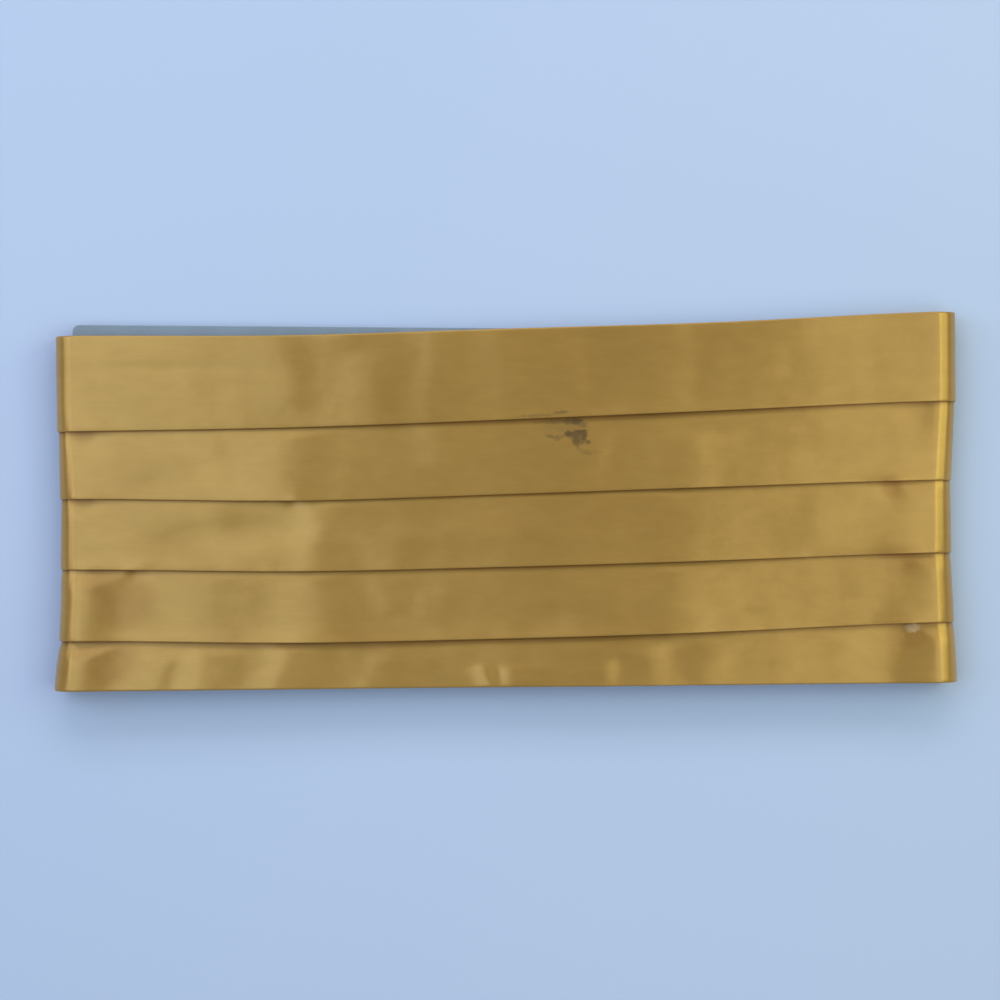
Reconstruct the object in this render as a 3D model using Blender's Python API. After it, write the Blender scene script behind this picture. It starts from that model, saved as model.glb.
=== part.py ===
"""A pleated satin cummerbund, folded for storage with both ends behind its front panel.

Run with blender --background --python part.py, or from Blender's text editor. Metres, +Z up.
The garment lies on its back: X runs along its length, Y up its height and Z out of its front. Sizes
are in millimetres until they are placed.
"""

import math
from collections import namedtuple

import bmesh
import bpy
from mathutils import Vector

MM = 0.001

# ---- Driving sizes, in millimetres ---------------------------------------------------------------
PACKET_DEPTH = 15.0  # front face to back face, across the side folds
CLOTH = 1.0  # a doubled pleat, as one wall
SEAM = 0.3  # clearance between pieces that lie on each other
FACE = 2 * CLOTH + SEAM  # a panel where one pleat laps the next
TUCK = 7.0  # how far a pleat's upper part runs up behind the pleat above
LAP = 8.5  # how far up from its fold a pleat lies over the pleat below
HEM = 12.0  # depth of the turned-in top hem
LOWER_HEM = 6.0  # depth of the turned-in lower hem
END_OF_PLEATS = 48.0  # where the folded-back ends stop, from the middle
END_SCALE = 0.42  # height of the panel at its ends, as a share of its height at the folds
TAPER_START = 0.12  # share of a folded-back end before it starts to narrow
MIDDLE_SAG = 1.3  # how much thinner the packet is in its middle

MIDDLE = PACKET_DEPTH / 2
CORE_RADIUS = MIDDLE - FACE  # inner face of the panel at the side folds
HEM_ROUND = FACE / 2
FOLD_ROUND = CLOTH / 2

# The lines across the panel, from the top edge down. A height is above the lower edge, at five
# places along the front. A reach is how far the side fold stands out from the middle at that line.
Line = namedtuple(
    "Line", "name left_reach left_fold left_quarter middle right_quarter right_fold right_reach"
)
LINES = (
    Line("top_edge", 154.9, 122.0, 121.5, 123.0, 124.5, 127.2, 155.6),
    Line("pleat_1", 154.7, 89.1, 89.7, 91.7, 94.1, 96.5, 155.6),
    Line("pleat_2", 154.0, 65.9, 64.6, 66.1, 67.9, 69.5, 153.8),
    Line("pleat_3", 154.0, 41.7, 40.4, 41.2, 42.7, 44.6, 153.5),
    Line("pleat_4", 154.4, 17.3, 16.0, 16.7, 18.3, 20.8, 154.2),
    Line("pleat_5", 157.0, 0.0, 0.0, 0.0, 0.0, 0.0, 156.8),
)
TOP_EDGE, LOWER_EDGE = LINES[0], LINES[-1]
PANEL_HEIGHT = (TOP_EDGE.left_fold + TOP_EDGE.right_fold) / 2
CENTRE_HEIGHT = PANEL_HEIGHT / 2

# The hidden layers, from the back of the fold to the front. Each edge stays inside the panel's edge
# by its inset, apart from the proud layer, which lies a little askew.
Layer = namedtuple("Layer", "top_inset lower_inset")
LAYERS = (
    Layer(2.6, 2.0),
    Layer(None, None),
    Layer(3.4, 1.4),
    Layer(2.2, 2.8),
    Layer(3.0, 1.8),
)
LAYER_GROOVE = 1.1
LAYER_ROUND = 0.45
PROUD_START = -148.0  # left end of the layer that stands proud of the top edge
PROUD_HEIGHT = 126.8  # its top edge there
PROUD_SLOPE = -0.016  # and how it falls to the right
PROUD_LOWER = 3.4  # its lower edge in the middle
PROUD_CORNER = 3.0
PROUD_HIDDEN = 118.0  # where the other layers go on without it
END_TURNS = (78, 60, 40)  # places round the ends of the hidden layers, in degrees

# Sections along each stretch of the panel
FRONT_SECTIONS = 20
FOLD_SECTIONS = 8
BACK_SECTIONS = 8

# The tabs, the elastic straps and the fastening at the back
TAB_WIDTH = 10.0
TAB_ROUND = 0.7
STRAP_WIDTH = 25.0
STRAP_CLOTH = 1.0
STRAP_END = END_OF_PLEATS - TAB_WIDTH - 2 * SEAM
RETURN = 10.0  # length of strap sewn back on itself past a bar
METAL_Z = 2.4  # mid-plane of the hook and the eye
METAL = 1.2
BAR = 1.5
RAIL = 1.75
FRAME_HEIGHT = STRAP_WIDTH + 2 * (RAIL + SEAM)
HOOK_X = -11.0  # left end of the hook's frame
HOOK_WIDTH = 7.6
EYE_X = 1.1  # left end of the eye
EYE_WIDTH = 10.0
TONGUE = 1.0
TONGUE_HEIGHT = 10.0
TONGUE_TIP = 3.5
LOOP_RADIUS = METAL / 2 + SEAM + STRAP_CLOTH / 2  # a strap's centreline round a bar
ABOVE, BELOW = METAL_Z + LOOP_RADIUS, METAL_Z - LOOP_RADIUS
PINCH = (STRAP_CLOTH + SEAM) / 2  # the same, where the strap is sewn to itself
PINCH_REACH = 3.2
LEAVING_Z = 1.5  # where a strap comes out of its tab
POCKET_HALF_HEIGHT = 17.0  # the hollow that the fastening presses into the hidden layers
POCKET_DEPTH = 2.4
POCKET_SLOPE = 0.6

Station = namedtuple("Station", "part side share")


# ---- Small tools ---------------------------------------------------------------------------------
def evenly(steps, start=0.0, end=1.0):
    return [start + (end - start) * i / steps for i in range(steps + 1)]


def blend(a, b, share):
    return a + (b - a) * share


def smooth(share):
    share = min(1.0, max(0.0, share))
    return share * share * (3 - 2 * share)


def through(values, share):
    """A smooth curve through evenly spaced values, at a share of the way along."""
    spot = min(max(share, 0.0), 1.0) * (len(values) - 1)
    i = min(int(spot), len(values) - 2)
    t = spot - i
    before, after = values[max(i - 1, 0)], values[min(i + 2, len(values) - 1)]
    start, end = values[i], values[i + 1]
    slope_in, slope_out = (end - before) / 2, (after - start) / 2
    return (
        (2 * t**3 - 3 * t**2 + 1) * start
        + (t**3 - 2 * t**2 + t) * slope_in
        + (3 * t**2 - 2 * t**3) * end
        + (t**3 - t**2) * slope_out
    )


def arc(centre, radius, start, end, steps):
    """Points round part of a circle, by angle in degrees."""
    turns = [math.radians(angle) for angle in evenly(steps, start, end)]
    return [(centre[0] + radius * math.cos(a), centre[1] + radius * math.sin(a)) for a in turns]


def material(name, colour, roughness, metallic=0.0):
    made = bpy.data.materials.new(name)
    made.use_nodes = True
    shader = made.node_tree.nodes["Principled BSDF"]
    shader.inputs["Base Color"].default_value = (*colour, 1.0)
    shader.inputs["Roughness"].default_value = roughness
    shader.inputs["Metallic"].default_value = metallic
    return made


def add_object(name, mesh, finish):
    made = bpy.data.objects.new(name, mesh)
    mesh.materials.append(finish)
    bpy.context.scene.collection.objects.link(made)
    return made


def loft(name, rings, finish):
    """One closed body through rings of as many points each, in millimetres."""
    shell = bmesh.new()
    rows = [[shell.verts.new(point * MM) for point in ring] for ring in rings]
    for row, following in zip(rows, rows[1:]):
        for i in range(len(row)):
            j = (i + 1) % len(row)
            shell.faces.new((row[i], row[j], following[j], following[i]))
    shell.faces.new(reversed(rows[0]))
    shell.faces.new(rows[-1])
    bmesh.ops.recalc_face_normals(shell, faces=shell.faces)
    mesh = bpy.data.meshes.new(name)
    shell.to_mesh(mesh)
    shell.free()
    mesh.shade_smooth()
    mesh.set_sharp_from_angle(angle=math.radians(40))
    return add_object(name, mesh, finish)


def settled(point):
    """A point of the packet once it has sunk in its middle. The layers folded behind stay flat."""
    across = point.x / (LOWER_EDGE.left_reach - MIDDLE)
    sink = MIDDLE_SAG * max(0.0, 1 - across * across) ** 2
    back = FACE + SEAM
    share = max(0.0, (point.z - back) / (PACKET_DEPTH - back))
    return Vector((point.x, point.y, point.z - sink * share))


# ---- The panel's path and its pleat lines --------------------------------------------------------
def reach_at(side, height):
    """How far the side fold stands out at a height, between the lines' own reaches."""
    field, fold = ("left_reach", "left_fold") if side < 0 else ("right_reach", "right_fold")
    rows = [(getattr(line, fold), getattr(line, field)) for line in LINES]
    for (upper, upper_reach), (lower, lower_reach) in zip(rows, rows[1:]):
        if height >= lower:
            share = min(1.0, (height - lower) / (upper - lower))
            return blend(lower_reach, upper_reach, share)
    return rows[-1][1]


def taper_at(share):
    """How much of its height the panel keeps along a folded-back end."""
    return 1 - (1 - END_SCALE) * smooth((share - TAPER_START) / (1 - TAPER_START))


def line_height(line, station):
    if station.part == "front":
        return through(line[2:7], station.share)
    return line.left_fold if station.side < 0 else line.right_fold


def placed(station, height, out):
    """The point of the panel at a height and a distance out from its inner face."""
    lift = CORE_RADIUS + out
    if station.part == "front":
        left = MIDDLE - reach_at(-1, height)
        right = reach_at(1, height) - MIDDLE
        return settled(Vector((blend(left, right, station.share), height, MIDDLE + lift)))
    centre = reach_at(station.side, height) - MIDDLE
    if station.part == "fold":
        turn = math.pi * station.share
        x, z = centre + lift * math.sin(turn), MIDDLE + lift * math.cos(turn)
        return settled(Vector((station.side * x, height, z)))
    x = blend(centre, END_OF_PLEATS, station.share)
    narrowed = CENTRE_HEIGHT + (height - CENTRE_HEIGHT) * taper_at(station.share)
    return settled(Vector((station.side * x, narrowed, MIDDLE - lift)))


def panel_stations():
    """From one end of the panel, round a fold, along the front, round the other fold, to the other end."""
    back = [Station("back", -1, share) for share in evenly(BACK_SECTIONS, 1.0, 0.0)]
    fold = [Station("fold", -1, share) for share in evenly(FOLD_SECTIONS, 1.0, 0.0)[1:]]
    front = [Station("front", 0, share) for share in evenly(FRONT_SECTIONS)[1:]]
    far_fold = [Station("fold", 1, share) for share in evenly(FOLD_SECTIONS)[1:]]
    far_back = [Station("back", 1, share) for share in evenly(BACK_SECTIONS)[1:]]
    return back + fold + front + far_fold + far_back


# ---- The pleats ----------------------------------------------------------------------------------
def rising(upper, lower, start, end):
    """Points down a pleat's slope, from the pleat above to where it laps the pleat below."""
    return [
        (blend(upper, lower, share), blend(start, end, smooth(share)))
        for share in (0.0, 0.3, 0.7, 1.0)
    ]


def top_pleat_profile(top, lower):
    """The top pleat: a hem turned over the top edge, a flat face and a rounded fold at its lower edge."""
    hem = arc((top - HEM_ROUND, HEM_ROUND), HEM_ROUND, -90, 90, 4)
    fold = arc((lower + FOLD_ROUND, FACE - FOLD_ROUND), FOLD_ROUND, 90, 270, 4)
    inner = [
        (lower + LAP, CLOTH + SEAM),
        (top - HEM - CLOTH, CLOTH + SEAM),
        (top - HEM, 0.0),
    ]
    return hem + [(lower + LAP, FACE)] + fold + inner


def middle_pleat_profile(upper, lower):
    """A pleat that starts behind the one above, comes forward and laps over the one below."""
    outer = rising(upper, lower + LAP, CLOTH, FACE)
    fold = arc((lower + FOLD_ROUND, FACE - FOLD_ROUND), FOLD_ROUND, 90, 270, 4)
    inner = rising(upper, lower + LAP, 0.0, CLOTH + SEAM)[::-1]
    return [(upper + TUCK, CLOTH)] + outer + fold + inner + [(upper + TUCK, 0.0)]


def lowest_pleat_profile(upper, lower):
    """The lowest pleat: its lower edge is the panel's, with a hem turned in behind it."""
    outer = rising(upper, lower + LOWER_HEM, CLOTH, FACE)
    hem = arc((lower + HEM_ROUND, HEM_ROUND), HEM_ROUND, 90, 270, 4)
    inner = [(lower + LOWER_HEM, 0.0), (upper, 0.0)]
    return [(upper + TUCK, CLOTH)] + outer + hem + inner + [(upper + TUCK, 0.0)]


def pleat(number, finish):
    """One pleat, a single strip from the panel's one end to its other."""
    above, own = LINES[number - 1], LINES[number]
    shape = {1: top_pleat_profile, len(LINES) - 1: lowest_pleat_profile}.get(
        number, middle_pleat_profile
    )
    rings = []
    for station in panel_stations():
        profile = shape(line_height(above, station), line_height(own, station))
        rings.append([placed(station, height, out) for height, out in profile])
    return loft(own.name, rings, finish)


# ---- The hidden layers inside the fold -----------------------------------------------------------
def front_share(x):
    span_left = LOWER_EDGE.left_reach - MIDDLE
    return (x + span_left) / (span_left + LOWER_EDGE.right_reach - MIDDLE)


def proud_top(x):
    """Top edge of the layer that stands proud, with a round corner at its left end."""
    line = PROUD_HEIGHT + PROUD_SLOPE * (x - PROUD_START)
    along = x - PROUD_START
    if along < 0:
        return PROUD_HIDDEN
    if along < PROUD_CORNER:
        return line - PROUD_CORNER + math.sqrt(PROUD_CORNER**2 - (PROUD_CORNER - along) ** 2)
    return line


def layer_edges(x):
    """(lower edge, top edge) of each hidden layer at a place along the fold."""
    top = through(TOP_EDGE[2:7], front_share(x))
    edges = []
    for layer in LAYERS:
        if layer.top_inset is None:
            edges.append((PROUD_LOWER + PROUD_SLOPE * x, proud_top(x)))
        else:
            edges.append((layer.lower_inset, top - layer.top_inset))
    return edges


def layered_ring(x, half_depth, pocket):
    """The hidden layers cut across at x: a round-edged step for each layer at both edges of the panel."""
    edges = layer_edges(x)
    low, depth = MIDDLE - half_depth, 2 * half_depth / len(edges)
    spots = [
        (CENTRE_HEIGHT - POCKET_HALF_HEIGHT - POCKET_SLOPE, low),
        (CENTRE_HEIGHT - POCKET_HALF_HEIGHT, low + pocket),
        (CENTRE_HEIGHT + POCKET_HALF_HEIGHT, low + pocket),
        (CENTRE_HEIGHT + POCKET_HALF_HEIGHT + POCKET_SLOPE, low),
    ]
    round_share = LAYER_ROUND * half_depth / (MIDDLE - FACE)
    last = len(edges) - 1
    for i, (_, top) in enumerate(edges):
        floor, ceiling = low + i * depth, low + (i + 1) * depth
        spots.append((top - LAYER_GROOVE, floor))
        spots += [(top, floor + round_share), (top, ceiling - round_share)]
    spots.append((edges[last][1] - LAYER_GROOVE, low + len(edges) * depth))
    spots.append((edges[last][0] + LAYER_GROOVE, low + len(edges) * depth))
    for i in range(last, -1, -1):
        lower = edges[i][0]
        floor, ceiling = low + i * depth, low + (i + 1) * depth
        spots += [(lower, ceiling - round_share), (lower, floor + round_share)]
        spots.append((lower + LAYER_GROOVE, floor))
    return [settled(Vector((x, height, z))) for height, z in spots]


def inner_layers(finish):
    """The lining layers inside the fold, as one rounded solid with layered edges."""
    radius = CORE_RADIUS - SEAM
    left = MIDDLE - min(line.left_reach for line in LINES)
    right = min(line.right_reach for line in LINES) - MIDDLE
    pocket = STRAP_END + SEAM
    corner = [PROUD_START + along for along in (-2 * SEAM, 0.0, 0.3 * PROUD_CORNER, PROUD_CORNER)]
    flat = (-120, -90, -60, -pocket - SEAM, -pocket, 0, pocket, pocket + SEAM, 60, 90, 120, right)
    turns = [math.radians(angle) for angle in END_TURNS]
    spans = [(left - radius * math.sin(turn), radius * math.cos(turn)) for turn in turns]
    spans += [(x, math.sqrt(radius**2 - min(0.0, x - left) ** 2)) for x in corner]
    spans += [(x, radius) for x in flat]
    spans += [(right + radius * math.sin(turn), radius * math.cos(turn)) for turn in turns[::-1]]
    rings = [layered_ring(x, half, POCKET_DEPTH if abs(x) <= pocket else 0.0) for x, half in spans]
    return loft("inner_layers", rings, finish)


# ---- Tabs, straps and fastening at the back ------------------------------------------------------
def slab(name, low, high, rounding, finish):
    """A flat piece between two corners, with its edges rounded."""
    shell = bmesh.new()
    bmesh.ops.create_cube(shell, size=1.0)
    size, centre = high - low, (high + low) / 2
    for vert in shell.verts:
        vert.co = Vector((c + s * v for c, s, v in zip(centre, size, vert.co))) * MM
    mesh = bpy.data.meshes.new(name)
    shell.to_mesh(mesh)
    shell.free()
    made = add_object(name, mesh, finish)
    if rounding:
        edges = made.modifiers.new("rounded_edges", "BEVEL")
        edges.width = rounding * MM
        edges.segments = 2
    return made


def end_tab(side, name, finish):
    """The satin tab that closes the pleats' ends and takes the strap."""
    half = CENTRE_HEIGHT * END_SCALE
    near, far = side * (END_OF_PLEATS - SEAM), side * (END_OF_PLEATS - SEAM - TAB_WIDTH)
    low = Vector((min(near, far), CENTRE_HEIGHT - half, 0.0))
    high = Vector((max(near, far), CENTRE_HEIGHT + half, FACE))
    return slab(name, low, high, TAB_ROUND, finish)


def ribbon_mesh(name, path, width, thickness):
    """A flat strip of even thickness that follows a path of (x, z) points."""
    points = [Vector(point) for point in path]
    left, right = [], []
    for i, point in enumerate(points):
        ahead = points[min(i + 1, len(points) - 1)] - points[max(i - 1, 0)]
        normal = Vector((-ahead.y, ahead.x)).normalized() * thickness / 2
        left.append(point + normal)
        right.append(point - normal)
    outline = left + right[::-1]
    shell = bmesh.new()
    rims = []
    for height in (CENTRE_HEIGHT - width / 2, CENTRE_HEIGHT + width / 2):
        rims.append([shell.verts.new(Vector((p.x, height, p.y)) * MM) for p in outline])
    near, far = rims
    count = len(points)
    for i in range(len(outline)):
        j = (i + 1) % len(outline)
        shell.faces.new((near[i], near[j], far[j], far[i]))
    for rim in rims:
        for i in range(count - 1):
            j = len(outline) - 1 - i
            shell.faces.new((rim[i], rim[i + 1], rim[j - 1], rim[j]))
    bmesh.ops.recalc_face_normals(shell, faces=shell.faces)
    mesh = bpy.data.meshes.new(name)
    shell.to_mesh(mesh)
    shell.free()
    return mesh


def strap(side, name, bar, finish):
    """From a tab to the bar of its metal piece, whose outer face is at bar, round it and back on itself."""
    turn = bar - side * BAR
    pinch = bar + side * PINCH_REACH
    path = [
        (side * STRAP_END, LEAVING_Z),
        (pinch + side * RETURN, METAL_Z + PINCH),
        (pinch, METAL_Z + PINCH),
        (bar + side * SEAM, ABOVE),
    ]
    path += arc((turn, METAL_Z), LOOP_RADIUS, 90, 90 + side * 180, 6)
    path += [
        (bar + side * SEAM, BELOW),
        (pinch, METAL_Z - PINCH),
        (pinch + side * (RETURN - PINCH_REACH), METAL_Z - PINCH),
    ]
    return add_object(name, ribbon_mesh(name, path, STRAP_WIDTH, STRAP_CLOTH), finish)


def metal_frame(name, left, width, windows, finish):
    """A flat metal frame with windows cut through it, each a (left, right) pair."""
    half = Vector((0, FRAME_HEIGHT / 2, METAL / 2))
    middle = Vector((0, CENTRE_HEIGHT, METAL_Z))
    low, high = middle - half + Vector((left, 0, 0)), middle + half + Vector((left + width, 0, 0))
    frame = slab(name, low, high, 0, finish)
    for number, (start, end) in enumerate(windows):
        reach = Vector((0, FRAME_HEIGHT / 2 - RAIL, METAL))
        cutter = slab(
            f"{name}_window_{number}",
            middle - reach + Vector((start, 0, 0)),
            middle + reach + Vector((end, 0, 0)),
            0,
            finish,
        )
        cutter.hide_render = True
        cutter.display_type = "WIRE"
        cut = frame.modifiers.new("window", "BOOLEAN")
        cut.operation = "DIFFERENCE"
        cut.object = cutter
    return frame


def hook(finish):
    """The hook: a bar for the strap, a plate, and a tongue that curls round the eye's bar."""
    window_end = HOOK_X + BAR + LOOP_RADIUS + STRAP_CLOTH / 2 + SEAM
    made = metal_frame("hook", HOOK_X, HOOK_WIDTH, ((HOOK_X + BAR, window_end),), finish)
    turn = EYE_X + BAR
    root = HOOK_X + HOOK_WIDTH
    path = [(root - BAR, METAL_Z), (root + SEAM, METAL_Z), (EYE_X - 2 * SEAM, ABOVE)]
    path += arc((turn, METAL_Z), LOOP_RADIUS, 90, -90, 6)
    path += [(turn - TONGUE_TIP, BELOW)]
    mesh = ribbon_mesh("hook_tongue", path, TONGUE_HEIGHT, TONGUE)
    tongue = add_object("hook_tongue", mesh, finish)
    tongue.hide_render = True
    tongue.display_type = "WIRE"
    join = made.modifiers.new("tongue", "BOOLEAN")
    join.operation = "UNION"
    join.object = tongue
    return made


def eye(finish):
    """The eye that the hook catches."""
    window = (EYE_X + BAR, EYE_X + EYE_WIDTH - BAR)
    return metal_frame("eye", EYE_X, EYE_WIDTH, (window,), finish)


# ---- The whole garment ---------------------------------------------------------------------------
def clear_scene():
    for old in list(bpy.data.objects):
        bpy.data.objects.remove(old)


def centre_on_origin(parts):
    """Moves every piece so that the origin is under the middle of the garment, on the surface it lies on."""
    points = [vert.co for part in parts for vert in part.data.vertices]
    middle_x = (min(p.x for p in points) + max(p.x for p in points)) / 2
    middle_y = (min(p.y for p in points) + max(p.y for p in points)) / 2
    for made in bpy.data.objects:
        made.data.transform(made.matrix_world)
        for vert in made.data.vertices:
            vert.co -= Vector((middle_x, middle_y, 0.0))


def main():
    clear_scene()
    satin = material("gold_satin", (0.42, 0.29, 0.085), 0.42)
    lining = material("grey_lining", (0.19, 0.21, 0.24), 0.85)
    elastic = material("gold_elastic", (0.30, 0.21, 0.07), 0.75)
    brass = material("brass_plate", (0.62, 0.47, 0.20), 0.3, 1.0)

    pleats = [pleat(number, satin) for number in range(1, len(LINES))]
    layers = inner_layers(lining)
    end_tab(-1, "end_tab_left", satin)
    end_tab(1, "end_tab_right", satin)
    strap(-1, "strap_left", HOOK_X, elastic)
    strap(1, "strap_right", EYE_X + EYE_WIDTH, elastic)
    hook(brass)
    eye(brass)
    centre_on_origin([*pleats, layers])


main()
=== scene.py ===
"""Looks of a gold satin cummerbund that is folded for storage and lies on its back.

It is laid out as an add-on and run as a script. Lengths are in millimetres until they are placed.
X runs along the garment, Y up its height and Z out of its pleated front.
"""

import math
from collections import namedtuple

import bmesh
import bpy
from bpy.props import FloatProperty, FloatVectorProperty, IntProperty, PointerProperty
from mathutils import Matrix, Vector, noise


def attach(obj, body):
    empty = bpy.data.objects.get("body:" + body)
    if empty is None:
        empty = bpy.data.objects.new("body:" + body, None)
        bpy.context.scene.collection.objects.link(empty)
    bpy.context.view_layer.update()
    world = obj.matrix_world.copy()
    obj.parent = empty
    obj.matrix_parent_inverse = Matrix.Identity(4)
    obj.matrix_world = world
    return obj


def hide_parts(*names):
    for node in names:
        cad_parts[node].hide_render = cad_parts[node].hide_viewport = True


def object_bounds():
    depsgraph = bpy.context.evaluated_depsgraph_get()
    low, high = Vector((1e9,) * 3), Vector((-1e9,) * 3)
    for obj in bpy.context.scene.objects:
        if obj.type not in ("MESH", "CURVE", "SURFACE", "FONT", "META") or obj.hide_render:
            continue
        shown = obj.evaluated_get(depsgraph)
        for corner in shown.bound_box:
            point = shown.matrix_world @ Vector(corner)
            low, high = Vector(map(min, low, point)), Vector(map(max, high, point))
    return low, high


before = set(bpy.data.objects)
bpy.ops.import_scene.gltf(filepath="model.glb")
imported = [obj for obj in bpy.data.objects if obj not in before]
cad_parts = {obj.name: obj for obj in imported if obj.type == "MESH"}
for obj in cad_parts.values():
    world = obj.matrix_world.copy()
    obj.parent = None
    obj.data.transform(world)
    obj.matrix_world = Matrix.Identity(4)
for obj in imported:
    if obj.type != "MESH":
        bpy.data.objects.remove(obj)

bl_info = {
    "name": "Folded cummerbund",
    "version": (1, 0, 0),
    "blender": (4, 5, 0),
    "location": "3D View > Sidebar > Cummerbund",
    "description": "Dresses a folded cummerbund in satin, lining, elastic and brass",
    "category": "Object",
}

MM = 0.001
BODY = "root"
CAD_LOW, CAD_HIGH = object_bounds()

# ---- The cloth's own sizes -------------------------------------------------------------------------
PACKET_DEPTH = CAD_HIGH.z / MM
LOWER_EDGE_Y = CAD_LOW.y / MM  # where a height of 0 lies
CLOTH = 1.0  # a doubled pleat, where it is tucked in
WALL = 0.6  # a doubled pleat, where it lies free
SEAM = 0.3  # clearance between pieces that lie on each other
FACE = 2 * CLOTH + SEAM  # a panel where one pleat laps the next
TUCK = 7.0  # how far a pleat's upper part runs up behind the pleat above
HEM = 12.0
HEM_PRESSED = 0.6  # half height of the pressed fold at the panel's edges
HEM_SQUARE = 0.6  # power that squares off its round
SIDE_SQUEEZE = 0.6  # how much the layers are pressed level where they turn round the sides
FOLD_FLAT = math.radians(45)  # how much of each turn is pressed flatter next to the front and back
FOLD_PRESS = 0.028  # the share of its radius that a turn loses there
LOWER_HEM = 6.0
END_OF_PLEATS = 48.0  # where the folded-back ends stop, from the middle
END_SCALE = 0.42  # height of the panel at its ends, as a share of its height at the folds
TAPER_START = 0.12
MIDDLE_SAG = 1.3  # how much thinner the packet is in its middle
MIDDLE = PACKET_DEPTH / 2
CORE_RADIUS = MIDDLE - FACE
FRONT_HALF = 147.0  # cloth from the middle of the front to where the side folds start
FOLD_LENGTH = math.pi * (CORE_RADIUS + FACE / 2)
BACK_LENGTH = FRONT_HALF - END_OF_PLEATS

Line = namedtuple(
    "Line", "name left_reach left_fold left_quarter middle right_quarter right_fold right_reach"
)
LINES = (
    Line("top_edge", 154.9, 122.0, 121.5, 123.0, 124.5, 127.2, 155.6),
    Line("pleat_1", 154.7, 89.1, 89.7, 91.7, 94.1, 96.5, 155.6),
    Line("pleat_2", 154.0, 65.9, 64.6, 66.1, 67.9, 69.5, 153.8),
    Line("pleat_3", 154.0, 41.7, 40.4, 41.2, 42.7, 44.6, 153.5),
    Line("pleat_4", 154.4, 17.3, 16.0, 16.7, 18.3, 20.8, 154.2),
    Line("pleat_5", 156.2, 0.0, 0.0, 0.0, 0.0, 0.0, 154.8),
)
TOP_EDGE, LOWER_EDGE = LINES[0], LINES[-1]
CENTRE_HEIGHT = (TOP_EDGE.left_fold + TOP_EDGE.right_fold) / 4
MIDDLE_X = 0.1  # where the panel's middle lies

# How finely the satin is drawn
FRONT_STEPS, FOLD_STEPS, BACK_STEPS = 245, 36, 48
FACE_STEPS, TUCK_STEPS, TURN_STEPS = 24, 2, 8

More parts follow.
